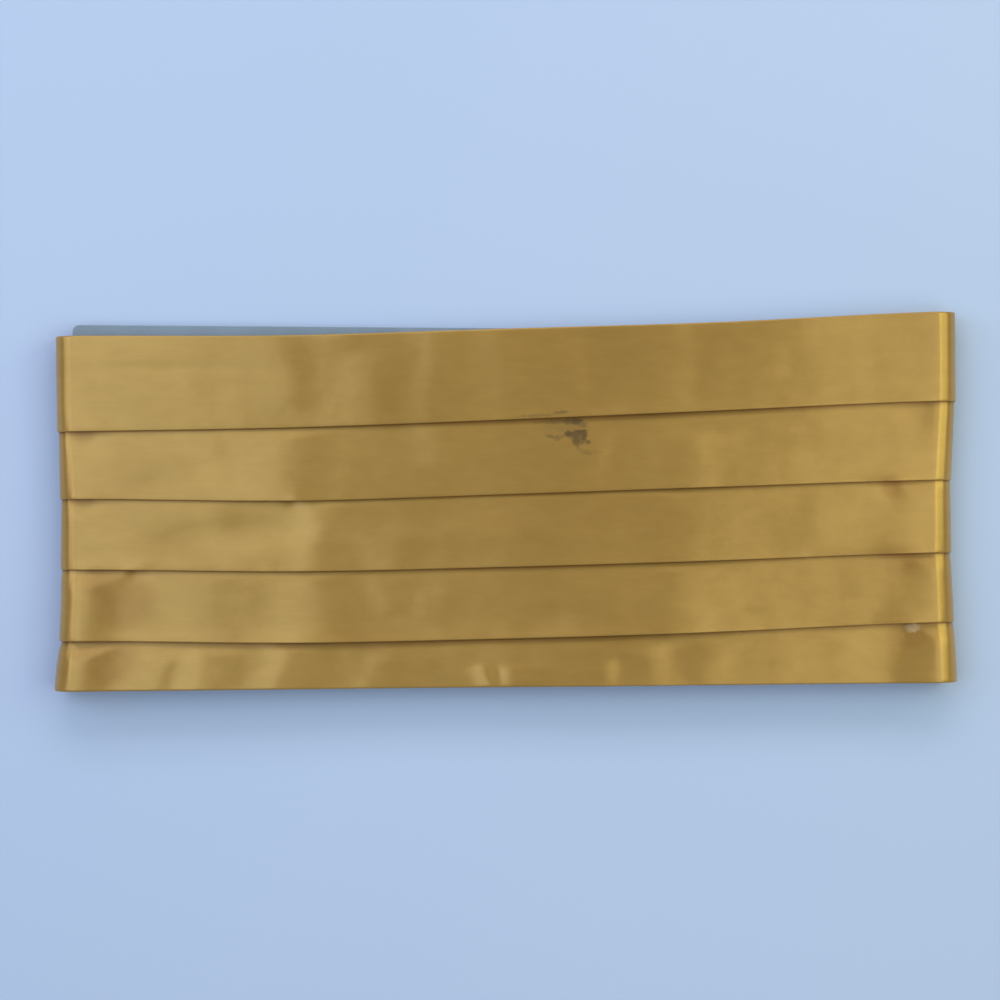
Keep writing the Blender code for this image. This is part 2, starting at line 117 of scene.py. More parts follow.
# Soft creases that run up a pleat, placed along the cloth from the middle of the front. Lean is how
# far the top lies to the right of the foot, left and right are how far each side slopes, foot and top
# are shares of the pleat's face, and a negative rise is a trough. Those past 150 are on the back.
Crease = namedtuple("Crease", "pleat along lean left right foot top rise")
CREASES = (
    Crease(1, -75.5, -6, 12, 8, 0.10, 1.1, 0.20),
    Crease(1, -46.0, 0, 13, 10, -0.30, 0.9, 0.25),
    Crease(1, -24.5, 1, 6, 9, -0.10, 1.3, 0.17),
    Crease(1, 0.0, -2, 7, 12, 0.10, 1.3, 0.17),
    Crease(1, 30.5, -2, 8, 14, -0.10, 1.1, -0.36),
    Crease(1, 66.5, 1, 8, 14, -0.10, 1.3, -0.15),
    Crease(1, 124, 4, 16, 14, -0.10, 1.2, -0.13),
    Crease(2, -102, 0, 10, 6, 0.45, 1.3, 0.14),
    Crease(2, -76, 0, 15, 14, -0.30, 1.3, 0.38),
    Crease(2, -22, 0, 8, 12, 0.30, 1.3, 0.16),
    Crease(2, 38.5, 1, 7, 12, -0.10, 1.3, -0.24),
    Crease(2, 62.5, 0, 13, 9, -0.30, 0.85, 0.26),
    Crease(2, 108, -5, 9, 18, 0.0, 0.9, -0.12),
    Crease(2, 129, 0, 12, 14, -0.30, 1.3, -0.13),
    Crease(3, -72, 0, 3, 3, 0.80, 1.4, -0.20),
    Crease(3, -65.5, 0, 8, 12, -0.30, 1.3, 0.26),
    Crease(3, -40, 0, 9, 9, -0.30, 0.65, 0.15),
    Crease(3, 60, 3, 14, 22, -0.30, 1.3, 0.34),
    Crease(3, 108, 4, 8, 14, 0.0, 0.85, 0.12),
    Crease(3, 142, 4, 15, 9, -0.30, 1.3, 0.24),
    Crease(4, -149, 0, 7, 12.5, -0.30, 1.3, 1.0),
    Crease(4, -104, 6, 12, 15, -0.10, 1.3, 0.20),
    Crease(4, -65.5, -2, 12, 13, -0.30, 1.3, 0.32),
    Crease(4, -42, 2, 6, 7, 0.25, 1.0, 0.10),
    Crease(4, -26, 2, 6, 9, 0.15, 0.8, 0.09),
    Crease(4, 58, 1, 9, 20, -0.30, 1.3, 0.34),
    Crease(4, 148, 4, 13, 8, -0.30, 1.4, 0.58),
    Crease(5, -147.5, 2, 8, 11, -0.30, 1.3, 0.9),
    Crease(5, -118, 3, 9, 5, -0.30, 0.8, 0.22),
    Crease(5, -104, 4, 5, 12, -0.30, 0.9, 0.34),
    Crease(5, -76, 2, 6, 14, -0.30, 1.3, 0.36),
    Crease(5, -44, 3, 5, 10, -0.30, 0.8, 0.13),
    Crease(5, -7.0, -3, 3.6, 2.6, -0.15, 0.56, 0.27),
    Crease(5, 2.2, 3.5, 3.6, 9, -0.15, 0.54, 0.27),
    Crease(5, 39.5, -4, 4.8, 8, -0.15, 0.68, -0.34),
    Crease(5, 57.5, 0, 7, 8, -0.15, 0.9, -0.34),
    Crease(5, 76, 2, 6, 6, -0.30, 0.7, -0.06),
    Crease(5, 107, 3, 13, 7, -0.10, 0.9, -0.14),
    Crease(5, 133, 3, 15, 9, -0.30, 1.3, -0.36),
    Crease(5, 149.5, 3, 14, 9, -0.30, 1.4, 0.9),
    Crease(1, 205, 6, 14, 8, -0.30, 1.2, -0.4),
    Crease(2, 212, -4, 9, 15, -0.30, 1.2, -0.3),
    Crease(4, 198, 5, 12, 8, -0.30, 1.2, -0.4),
    Crease(5, 224, 0, 15, 8, -0.30, 1.2, -0.3),
    Crease(1, -198, -6, 8, 15, -0.30, 1.2, -0.4),
    Crease(3, -208, 4, 12, 9, -0.30, 1.2, -0.3),
    Crease(5, -214, 0, 9, 12, -0.30, 1.2, -0.4),
    Crease(1, 246, 3, 5, 8, -0.30, 1.2, -0.3),
    Crease(2, 243, -2, 7, 5, -0.30, 1.2, -0.25),
    Crease(3, 238, 2, 6, 9, -0.30, 1.2, -0.3),
    Crease(4, 248, -3, 8, 5, -0.30, 1.2, -0.25),
    Crease(5, 252, 2, 5, 6, -0.30, 1.2, -0.3),
    Crease(1, -240, 2, 8, 6, -0.30, 1.2, -0.3),
    Crease(2, -249, -3, 5, 7, -0.30, 1.2, -0.25),
    Crease(3, -243, 3, 7, 5, -0.30, 1.2, -0.3),
    Crease(4, -236, -2, 6, 9, -0.30, 1.2, -0.3),
    Crease(5, -247, 2, 6, 6, -0.30, 1.2, -0.25),
)

# Rounder hollows and swellings, with their half sizes along and up the cloth
Dent = namedtuple("Dent", "pleat along share half_length half_height rise")
DENTS = (
    Dent(1, -114, 0.65, 24, 0.06, -0.24),
    Dent(1, -54, 0.95, 12, 0.10, 0.16),
    Dent(2, -144.5, 0.95, 5, 0.24, -0.40),
    Dent(2, -119, 0.26, 8, 0.14, -0.18),
    Dent(2, 86, 0.60, 14, 0.12, -0.20),
    Dent(2, 141, 0.95, 5, 0.30, -0.26),
    Dent(3, -145, 0.98, 4.5, 0.14, -0.40),
    Dent(3, -105, 0.45, 16, 0.22, -0.70),
    Dent(3, -82, 0.62, 13, 0.20, -0.52),
    Dent(3, -5, 0.46, 40, 0.20, 0.26),
    Dent(3, 133, 0.95, 4.5, 0.24, -0.16),
    Dent(4, -141, 1.0, 4, 0.14, -0.34),
    Dent(4, -127, 1.0, 4, 0.12, -0.30),
    Dent(4, 15, 0.25, 9, 0.16, -0.14),
    Dent(4, 78, 0.30, 9, 0.05, -0.12),
    Dent(4, 138, 0.92, 6, 0.26, -0.20),
    Dent(5, 98, 0.35, 9, 0.30, 0.12),
    Dent(5, 139, 0.90, 7, 0.40, -0.20),
)

# Broad, low swellings of the whole packet's front, with their middles and half sizes
Swell = namedtuple("Swell", "x height half_length half_height rise")
SWELLS = (Swell(38, 2, 38, 52, 1.6),)

# Where a pleat's lower fold stands off the pleat below it
Lift = namedtuple("Lift", "pleat along half_length rise")
LIFTS = (
    Lift(1, -144, 7, 0.5),
    Lift(1, 42, 62, 0.55),
    Lift(1, 141, 7, 0.35),
    Lift(2, -145, 6, 0.45),
    Lift(2, -72, 4, 0.25),
    Lift(2, 133, 7, 0.55),
    Lift(3, -141, 6, 0.4),
    Lift(3, -127, 6, 0.4),
    Lift(3, -20, 60, 0.15),
    Lift(3, 137, 9, 0.45),
    Lift(4, -70, 66, 0.9),
    Lift(4, 30, 50, 0.5),
    Lift(4, 136, 9, 0.4),
)
LIFT_REACH = 8.0  # how far up from the fold the face lifts with it
# How far below a fold its painted shadow reaches: at rest, and for each millimetre of lift
SHADE_REACH, SHADE_PER_LIFT = 1.0, 2.2
PUFF = 0.05  # how far a pleat's face swells between its folds
FADE = 1.8  # length over which relief starts below the pleat above
CREASE_FADE = 0.24  # the same at the ends of a crease, as a share of the face
CREASE_WANDER = 0.8
WANDER_UP, WANDER_ALONG = 5, 0.6  # how fast creases wander up their pleat, and how they differ
BELL_REACH = 3  # half widths past which a crease or dent no longer shows
TROUGH_AT_FOLD, TROUGH_IN_FACE = 0.45, 1.6  # room for troughs over the layer below
STEEP_FADE = 2.2  # how much longer the fade is for each millimetre of relief

# The slow unevenness of pressed satin and its finer ripple: length along the cloth, rows up a face,
# shift from pleat to pleat, place in the noise, and depth
Unevenness = namedtuple("Unevenness", "length rows shift place depth")
UNEVENNESS = (Unevenness(34, 0.8, 9, 0.5, 0.2), Unevenness(9, 1.9, 5, 7.5, 0.06))

# The hidden layers, from the back of the fold to the front
Ply = namedtuple("Ply", "share top_inset lower_inset")
PLIES = (
    Ply(1, 2.9, 2.2),
    Ply(1, 2.4, 1.8),
    Ply(2, None, None),
    Ply(1, 3.6, 1.5),
    Ply(1, 3.2, 1.3),
    Ply(1, 2.5, 2.9),
    Ply(1, 2.0, 2.6),
    Ply(1, 3.1, 2.0),
    Ply(1, 2.8, 1.6),
)
PLY_GROOVE = 0.9  # how deep the gaps between the plies' edges are
PLY_ROUND = ((0.12, 0.22), (0.32, 0.03), (0.68, 0.03), (0.88, 0.22))  # shares of its depth, insets
PLY_STEPS = 16
PLY_WAVE, PLY_WAVE_LENGTH = 0.5, 26  # how far the plies' edges waver, and over what length
PLY_SHIFT, PLY_PLACE = 3.7, 0.3  # their shift from ply to ply, and their place in the noise
LAYER_TURNS = (84, 72, 60, 50, 40)  # degrees round each end of the layers
LAYER_START, LAYER_STEPS, POCKET_STEPS = -142.0, 36, 24
# The ply that stands proud of the top edge, askew, and its round corner
PROUD_START, PROUD_SLOPE = -149.3, -0.0175
PROUD_HEIGHT, PROUD_HIDDEN, PROUD_LOWER = 126.3, 118.0, 3.4
PROUD_CORNER, CORNER_SPOTS = 2.2, (-0.4, 0.0, 0.2, 0.7, 1.4, 2.2)
# The hollow in the back that the straps sink into
POCKET_HALF_HEIGHT, POCKET_DEPTH, POCKET_SLOPE = 17.0, 2.4, 0.6

# The tabs, the elastic straps and the fastening at the back
TAB_WIDTH = 10.0
TAB_SUNK = 0.25  # how far the tab's face stays above what the garment lies on
TAB_ROWS, TAB_COLUMNS = 60, 32
TAB_ENDS, TAB_THINNEST = 14, 0.02  # how square its ends are, and how thin they get
TAB_SIDES, TAB_FACES = 0.28, 0.55  # powers that square off its section
TAB_TAPER = 0.1
TAB_PUCKER, TAB_PUCKERS, TAB_SEAMS = 0.05, 60, 0.75  # depth and pace of its puckers, and where they lie
STRAP_WIDTH = 25.0
STRAP_CLOTH = 1.0
STRAP_RIBS, RIB_STEPS, RIB_DEPTH = 14, 4, 0.16
STRAP_TURN_STEPS = 10
STRAP_SELVEDGE = 0.25  # thickness left at the webbing's edges, as a share
STRAP_END = END_OF_PLEATS - TAB_WIDTH - 2 * SEAM
RETURN = 10.0  # how far a strap's end runs back once it is round its bar
METAL_Z = 2.4  # height of the middle of the metal
METAL, BAR = 1.2, 1.5  # the metal's thickness, and the width of its bars
HOOK_X = -11.0
EYE_X, EYE_WIDTH = 1.1, 10.0
STRAP_BARS = ((-1, HOOK_X), (1, EYE_X + EYE_WIDTH))  # side, and the outer face of its metal's bar
LOOP_RADIUS = METAL / 2 + SEAM + STRAP_CLOTH / 2
ABOVE, BELOW = METAL_Z + LOOP_RADIUS, METAL_Z - LOOP_RADIUS
PINCH, PINCH_REACH = (STRAP_CLOTH + SEAM) / 2, 3.2  # where the strap closes up behind its bar
LEAVING_Z = 1.5  # height at which it leaves its tab
METAL_ROUNDING = 0.18
# The stitches: how far their seams keep from a piece's edges and ends, and how far they sink in
TAB_SEAM_INSET, TAB_SEAM_END = 1.6, 2.0
STRAP_SEAM_INSET, STRAP_SEAM_END = 1.2, 1.5
STITCH_SUNK, STITCH_UNEVENNESS = 0.05, 0.08
# Turns from face to face, in degrees: past which an edge is drawn sharp or rounded off, and under
# which two faces are one
SHARP_CLOTH, SHARP_METAL, ROUNDED_METAL, FLAT_METAL = 60, 35, 40, 1

# The mark on the front, as soft spots: where each lies along and up the panel, its half sizes, its
# turn in degrees and how dark it is
Spot = namedtuple("Spot", "along height half_length half_height turn dark")
MARK = (
    Spot(21.6, 86.5, 2.2, 1.6, -12, 0.95),
    Spot(25.6, 87.4, 3.0, 0.8, 6, 1.00),
    Spot(24.0, 86.4, 3.4, 2.2, 0, 0.90),
    Spot(24.2, 84.6, 2.0, 3.0, 20, 0.85),
    Spot(26.7, 86.0, 1.6, 2.8, -5, 0.95),
    Spot(25.6, 84.4, 1.9, 2.0, 0, 0.70),
    Spot(28.0, 83.9, 1.5, 0.9, -30, 0.75),
    Spot(24.9, 82.3, 0.7, 1.9, 0, 0.45),
    Spot(28.0, 80.1, 2.4, 1.2, -14, 0.34),
    Spot(26.2, 80.7, 2.2, 0.8, -30, 0.28),
    Spot(29.6, 80.3, 4.0, 0.9, 4, 0.18),
    Spot(15.5, 85.8, 2.6, 0.9, -12, 0.55),
    Spot(17.3, 85.4, 2.0, 1.1, 0, 0.52),
    Spot(19.0, 85.7, 2.2, 0.7, 8, 0.42),
    Spot(24.1, 90.8, 2.8, 1.6, 4, 0.90),
    Spot(26.0, 89.9, 2.4, 1.9, -20, 0.62),
    Spot(21.4, 91.0, 3.4, 1.2, 4, 0.72),
    Spot(17.6, 90.9, 6.0, 1.2, 2, 0.50),
    Spot(13.0, 90.7, 5.0, 0.8, 2, 0.26),
    Spot(22.2, 88.8, 8.0, 3.2, 0, 0.26),
    Spot(17.5, 89.2, 7.0, 2.8, 0, 0.18),
    Spot(10.6, 93.0, 8.0, 0.7, 2, 0.40),
    Spot(18.6, 94.0, 3.6, 0.8, 2, 0.62),
)
# Painted shade where the pleats are tacked down and cast shadow, and in broad patches by the sides
SHADE_SPOTS = (
    Spot(-144.6, 87.8, 5.2, 3.6, 0, 0.20),
    Spot(-145.0, 65.0, 4.8, 2.6, 0, 0.22),
    Spot(-141.0, 41.4, 4.6, 2.2, 0, 0.20),
    Spot(-127.0, 41.2, 4.4, 1.8, 0, 0.18),
    Spot(-131.0, 31.0, 13.0, 12.0, 0, 0.22),
    Spot(-137.0, 37.0, 12.0, 6.5, 0, 0.25),
    Spot(-135.0, 9.5, 13.0, 9.5, 0, 0.20),
    Spot(-138.0, 13.0, 11.0, 5.5, 0, 0.25),
    Spot(141.5, 94.0, 4.6, 5.0, 20, 0.08),
    Spot(132.8, 67.6, 4.6, 5.4, 0, 0.26),
    Spot(136.0, 42.4, 9.0, 7.0, 8, 0.24),
    Spot(138.0, 16.0, 9.0, 5.5, 0, 0.24),
    Spot(116.0, 19.0, 9.0, 2.2, 4, 0.16),
)
LINT = Spot(139.0, 19.0, 2.9, 2.0, 10, 0.7)


# ---- Small tools -----------------------------------------------------------------------------------
def evenly(steps, start=0.0, end=1.0):
    return [start + (end - start) * i / steps for i in range(steps + 1)]


def blend(a, b, share):
    return a + (b - a) * share


def smooth(share):
    share = min(1.0, max(0.0, share))
    return share * share * (3 - 2 * share)


def bell(distance, half):
    return math.exp(-((distance / half) ** 2))


def through(values, share):
    """A smooth curve through evenly spaced values, at a share of the way along."""
    spot = min(max(share, 0.0), 1.0) * (len(values) - 1)
    i = min(int(spot), len(values) - 2)
    t = spot - i
    before, after = values[max(i - 1, 0)], values[min(i + 2, len(values) - 1)]
    start, end = values[i], values[i + 1]
    slope_in, slope_out = (end - before) / 2, (after - start) / 2
    return (
        (2 * t**3 - 3 * t**2 + 1) * start
        + (t**3 - 2 * t**2 + t) * slope_in
        + (3 * t**2 - 2 * t**3) * end
        + (t**3 - t**2) * slope_out
    )


def arc(centre, radius, start, end, steps):
    """Points round part of a circle, by angle in degrees."""
    turns = [math.radians(angle) for angle in evenly(steps, start, end)]
    return [(centre[0] + radius * math.cos(a), centre[1] + radius * math.sin(a)) for a in turns]


def squared(value, power):
    """A sine or cosine pushed outwards by a power under 1, which squares off a round."""
    return math.copysign(abs(value) ** power, value)


def linear(hex_colour):
    """An sRGB hex colour as linear red, green, blue and alpha."""
    values = [int(hex_colour[i : i + 2], 16) / 255 for i in (1, 3, 5)]
    return (*(v / 12.92 if v <= 0.04045 else ((v + 0.055) / 1.055) ** 2.4 for v in values), 1.0)


def fill(tree, node, inputs):
    """Sets or links a node's inputs, by name or number. A node stands for its first output in use."""
    for name, value in inputs.items():
        if isinstance(value, bpy.types.Node):
            value = next(socket for socket in value.outputs if socket.enabled)
        if isinstance(value, bpy.types.NodeSocket):
            tree.links.new(value, node.inputs[name])
        else:
            node.inputs[name].default_value = value


def add(tree, kind, inputs=None, **settings):
    """Adds a node with its settings, and fills its inputs."""
    node = tree.nodes.new(kind)
    for name, value in settings.items():
        setattr(node, name, value)
    fill(tree, node, inputs or {})
    return node


def wave_scale(pitch):
    """The scale at which the bands of a wave texture lie a pitch apart."""
    return math.pi / 10 / pitch


def new_material(name):
    """An empty material, with its tree and its shader."""
    made = bpy.data.materials.new(name)
    made.use_nodes = True
    return made, made.node_tree, made.node_tree.nodes["Principled BSDF"]


def add_object(name, mesh, material, slot=None):
    """Puts a mesh in the scene as a piece of the garment."""
    made = bpy.data.objects.new(name, mesh)
    mesh.materials.clear()
    mesh.materials.append(material)
    bpy.context.scene.collection.objects.link(made)
    if slot:
        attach(made, BODY)
    return made


def finished_mesh(name, shell, sharp):
    """A shell as a mesh: faces outwards, and smooth but for edges that turn more than sharp degrees."""
    bmesh.ops.recalc_face_normals(shell, faces=shell.faces)
    for face in shell.faces:
        face.smooth = True
    mesh = bpy.data.meshes.new(name)
    shell.to_mesh(mesh)
    shell.free()
    mesh.set_sharp_from_angle(angle=math.radians(sharp))
    return mesh


def loft(name, rings, cloth_places):
    """A closed skin through rings of points, with the cloth's own coordinates as its UV map."""
    shell = bmesh.new()
    layer = shell.loops.layers.uv.new("cloth")
    place_of = {}
    rows = []
    for ring, places in zip(rings, cloth_places):
        row = [shell.verts.new(point * MM) for point in ring]
        place_of.update(zip(row, places))
        rows.append(row)
    for row, following in zip(rows, rows[1:]):
        for i in range(len(row)):
            j = (i + 1) % len(row)
            shell.faces.new((row[i], row[j], following[j], following[i]))
    shell.faces.new(reversed(rows[0]))
    shell.faces.new(rows[-1])
    for face in shell.faces:
        for loop in face.loops:
            along, height = place_of[loop.vert]
            loop[layer].uv = (along * MM, height * MM)
    return finished_mesh(name, shell, SHARP_CLOTH)


# ---- The panel's path ------------------------------------------------------------------------------
Station = namedtuple("Station", "part side share along")


def settled(point):
    """A point of the packet once it has sunk and swollen. Nothing goes below what it lies on."""
    across = point.x / (LOWER_EDGE.left_reach - MIDDLE)
    rise = -MIDDLE_SAG * max(0.0, 1 - across * across) ** 2
    for swell in SWELLS:
        along = bell(point.x - swell.x, swell.half_length)
        rise += swell.rise * along * bell(point.y - swell.height, swell.half_height)
    back = FACE + SEAM
    share = max(0.0, (point.z - back) / (PACKET_DEPTH - back))
    return Vector((point.x + MIDDLE_X, point.y + LOWER_EDGE_Y, max(0.0, point.z + rise * share)))


def reach_at(side, height):
    """How far the side fold stands out at a height, between the lines' own reaches."""
    field, fold = ("left_reach", "left_fold") if side < 0 else ("right_reach", "right_fold")
    rows = [(getattr(line, fold), getattr(line, field)) for line in LINES]
    for (upper, upper_reach), (lower, lower_reach) in zip(rows, rows[1:]):
        if height >= lower:
            share = min(1.0, (height - lower) / (upper - lower))
            flare = share * share if lower == 0 else share
            return blend(lower_reach, upper_reach, flare)
    return rows[-1][1]


def taper_at(share):
    """How much of its height the panel keeps along a folded-back end."""
    return 1 - (1 - END_SCALE) * smooth((share - TAPER_START) / (1 - TAPER_START))


def heights(line):
    """A line's heights from the left fold to the right one."""
    return (line.left_fold, line.left_quarter, line.middle, line.right_quarter, line.right_fold)


def line_height(line, station):
    if station.part == "front":
        return through(heights(line), station.share)
    return line.left_fold if station.side < 0 else line.right_fold


def fold_pressed(turn):
    """The share of its radius that a side fold keeps at a turn. Its shoulders are pressed flatter."""
    if turn > FOLD_FLAT:
        return 1.0
    return 1.0 - FOLD_PRESS * math.sin(math.pi * turn / FOLD_FLAT) ** 2


def placed(station, height, out):
    """The point of the panel at a height and a distance out from its inner face."""
    lift = CORE_RADIUS + out
    if station.part == "front":
        left = MIDDLE - reach_at(-1, height)
        right = reach_at(1, height) - MIDDLE
        return settled(Vector((blend(left, right, station.share), height, MIDDLE + lift)))
    centre = reach_at(station.side, height) - MIDDLE
    if station.part == "fold":
        turn = math.pi * station.share
        pressed = CORE_RADIUS + blend(out, FACE, SIDE_SQUEEZE)
        flat = fold_pressed(min(turn, math.pi - turn))
        x, z = centre + pressed * flat * math.sin(turn), MIDDLE + lift * flat * math.cos(turn)
        return settled(Vector((station.side * x, height, z)))
    x = blend(centre, END_OF_PLEATS, station.share)
    narrowed = CENTRE_HEIGHT + (height - CENTRE_HEIGHT) * taper_at(station.share)
    return settled(Vector((station.side * x, narrowed, MIDDLE - lift)))


def panel_stations():
    """From one end of the panel to the other: round a fold, along the front, round the other fold."""
    front = [
        Station("front", 0, share, blend(-FRONT_HALF, FRONT_HALF, share))
        for share in evenly(FRONT_STEPS)
    ]
    fold = [(share, FRONT_HALF + FOLD_LENGTH * share) for share in evenly(FOLD_STEPS)[1:]]
    end = FRONT_HALF + FOLD_LENGTH
    back = [(share, end + BACK_LENGTH * share) for share in evenly(BACK_STEPS)[1:]]
    right = [Station("fold", 1, *spot) for spot in fold] + [Station("back", 1, *spot) for spot in back]
    left = [Station(s.part, -1, s.share, -s.along) for s in right]
    return left[::-1] + front + right


# ---- The satin's relief ----------------------------------------------------------------------------
def crease_relief(pleat, along, share):
    """How far the creases and dents push a pleat's face out at a place."""
    total = 0.0
    for crease in CREASES:
        if crease.pleat != pleat:
            continue
        wander = CREASE_WANDER * math.sin(WANDER_UP * share + WANDER_ALONG * crease.along)
        distance = along - crease.along - crease.lean * (share - 0.5) - wander
        half = crease.left if distance < 0 else crease.right
        if abs(distance) > BELL_REACH * half:
            continue
        ends = smooth((share - crease.foot) / CREASE_FADE) * smooth((crease.top - share) / CREASE_FADE)
        total += crease.rise * bell(distance, half) * ends
    for dent in DENTS:
        if dent.pleat == pleat and abs(along - dent.along) < BELL_REACH * dent.half_length:
            across = bell(along - dent.along, dent.half_length)
            total += dent.rise * across * bell(share - dent.share, dent.half_height)
    return total


def soft_relief(pleat, along, share):
    """How far pressed satin's own unevenness pushes a pleat's face out at a place."""
    return sum(
        u.depth * noise.noise(Vector((along / u.length, share * u.rows + u.shift * pleat, u.place)))
        for u in UNEVENNESS
    )


def lift_at(pleat, along):
    return sum(
        lift.rise * bell(along - lift.along, lift.half_length)
        for lift in LIFTS
        if lift.pleat == pleat
    )


# ---- The pleats ------------------------------------------------------------------------------------
Place = namedtuple("Place", "height out skin")


def turned_edge(height, out, half_height, half_out, start, end, square=1.0):
    """Places round a folded edge. Skin is how far each faces outwards, from 0 to 1."""
    places = []
    for angle in evenly(TURN_STEPS, start, end):
        c, s = math.cos(math.radians(angle)), math.sin(math.radians(angle))
        rise, reach = half_height * squared(c, square), half_out * squared(s, square)
        places.append(Place(height + rise, out + reach, (1 + s) / 2))
    return places


def face_out(height, upper, lower):
    """How far out a pleat's outer face lies: it comes forward from under the pleat above."""
    return blend(CLOTH, FACE, (upper - height) / (upper - lower))


def tucked_places(upper):
    """The upper part of a pleat, which thins out behind the pleat above."""
    rows = evenly(TUCK_STEPS, upper + TUCK, upper)[:-1]
    return [Place(height, blend(CLOTH, WALL, (height - upper) / TUCK), 0.0) for height in rows]


def free_edge(lower):
    """The lower fold of a pleat, which lies free over the pleat below."""
    edge = turned_edge(lower + WALL / 2, FACE - WALL / 2, WALL / 2, WALL / 2, 90, 270)
    return [Place(place.height, place.out, 1.0) for place in edge]


def top_pleat_places(top, lower):
    """The top pleat: a hem turned over the top edge, a flat face and a rounded lower fold."""
    hem = turned_edge(top - HEM_PRESSED, FACE / 2, HEM_PRESSED, FACE / 2, -90, 90, HEM_SQUARE)
    face = [
        Place(height, FACE, 1.0)
        for height in evenly(FACE_STEPS, top - HEM_PRESSED, lower + WALL / 2)[1:-1]
    ]
    inner = [
        Place(height, FACE - WALL, 1.0)
        for height in evenly(FACE_STEPS // 2, lower + WALL, top - HEM - CLOTH)[1:]
    ]
    return hem + face + free_edge(lower) + inner + [Place(top - HEM, 0.0, 0.0)]


def middle_pleat_places(upper, lower):
    """A pleat that starts behind the one above, comes forward and laps over the one below."""
    tucked = tucked_places(upper)
    face = [
        Place(height, face_out(height, upper, lower), 1.0)
        for height in evenly(FACE_STEPS, upper, lower + WALL / 2)[:-1]
    ]
    inner = [
        Place(height, face_out(height, upper, lower) - WALL, 1.0)
        for height in evenly(FACE_STEPS // 2, lower + WALL, upper)[1:]
    ]
    return tucked + face + free_edge(lower) + inner + [Place(upper + TUCK, 0.0, 0.0)]


def lowest_pleat_places(upper, lower):
    """The lowest pleat: its lower edge is the panel's, with a hem turned in behind it."""
    tucked = tucked_places(upper)
    face = [
        Place(height, face_out(height, upper, lower), 1.0)
        for height in evenly(FACE_STEPS, upper, lower + HEM_PRESSED)[:-1]
    ]
    hem = turned_edge(lower + HEM_PRESSED, FACE / 2, HEM_PRESSED, FACE / 2, 90, 270, HEM_SQUARE)
    inner = [Place(lower + LOWER_HEM, 0.0, 0.0), Place(upper, 0.0, 0.0)]
    return tucked + face + hem + inner + [Place(upper + TUCK, 0.0, 0.0)]


def raised(place, pleat, station, upper, lower, depth):
    """How far out a place of a pleat lies, with its creases and its lift."""
    share = min(1.0, max(0.0, (place.height - lower) / (upper - lower)))
    relief = depth * crease_relief(pleat, station.along, share)
    relief += soft_relief(pleat, station.along, share)
    relief += PUFF * math.sin(math.pi * share)
    if relief < 0:
        room = TROUGH_AT_FOLD + TROUGH_IN_FACE * share * (1 - share)
        relief = -room * math.tanh(-relief / room)
    elif pleat > 1:
        relief *= smooth((upper - place.height) / (FADE * (1 + STEEP_FADE * relief)))
    near = max(0.0, 1 - max(0.0, place.height - lower) / LIFT_REACH)
    lift = lift_at(pleat, station.along) * near**2
    return place.out + place.skin * relief + lift


def fold_shadow_at(number, along, below):
    """How deep a place lies in the painted shadow below the fold above: 1 under it, 0 in the open."""
    if number == 1:
        return 0.0
    reach = SHADE_REACH + SHADE_PER_LIFT * max(0.0, lift_at(number - 1, along))
    return min(1.0, max(0.0, 1 - below / reach))


def pleat_mesh(number, depth):
    """One pleat, a single strip of satin from the panel's one end to its other."""
    above, own = LINES[number - 1], LINES[number]
    shape = {1: top_pleat_places, len(LINES) - 1: lowest_pleat_places}.get(number, middle_pleat_places)
    rings, cloth_places, tucked = [], [], []
    for station in panel_stations():
        upper, lower = line_height(above, station), line_height(own, station)
        places = shape(upper, lower)
        rings.append(
            [placed(station, p.height, raised(p, number, station, upper, lower, depth)) for p in places]
        )
        cloth_places.append([(station.along, p.height) for p in places])
        # each point's depth in the painted shadow below the fold above, kept as the tucked attribute
        tucked += [fold_shadow_at(number, station.along, upper - p.height) for p in places]
    mesh = loft(f"satin_pleat_{number}", rings, cloth_places)
    mesh.attributes.new("tucked", "FLOAT", "POINT").data.foreach_set("value", tucked)
    return mesh


# ---- The hidden layers -----------------------------------------------------------------------------
def proud_top(x):
    """Top edge of the layer that stands proud, with a round corner at its left end."""
    line = PROUD_HEIGHT + PROUD_SLOPE * (x - PROUD_START)
    along = x - PROUD_START
    if along < 0:
        return PROUD_HIDDEN
    if along < PROUD_CORNER:
        return line - PROUD_CORNER + math.sqrt(PROUD_CORNER**2 - (PROUD_CORNER - along) ** 2)
    return line


def ply_edges(x):
    """(lower edge, top edge) of each hidden ply at a place along the fold."""
    span_left = LOWER_EDGE.left_reach - MIDDLE
    top = through(heights(TOP_EDGE), (x + span_left) / (2 * span_left))
    edges = []
    for i, ply in enumerate(PLIES):
        if ply.top_inset is None:
            edges.append((PROUD_LOWER + PROUD_SLOPE * x, proud_top(x)))
            continue
        wave = PLY_WAVE * noise.noise(Vector((x / PLY_WAVE_LENGTH, PLY_SHIFT * i, PLY_PLACE)))
        edges.append((ply.lower_inset + wave, top - ply.top_inset + wave))
    return edges


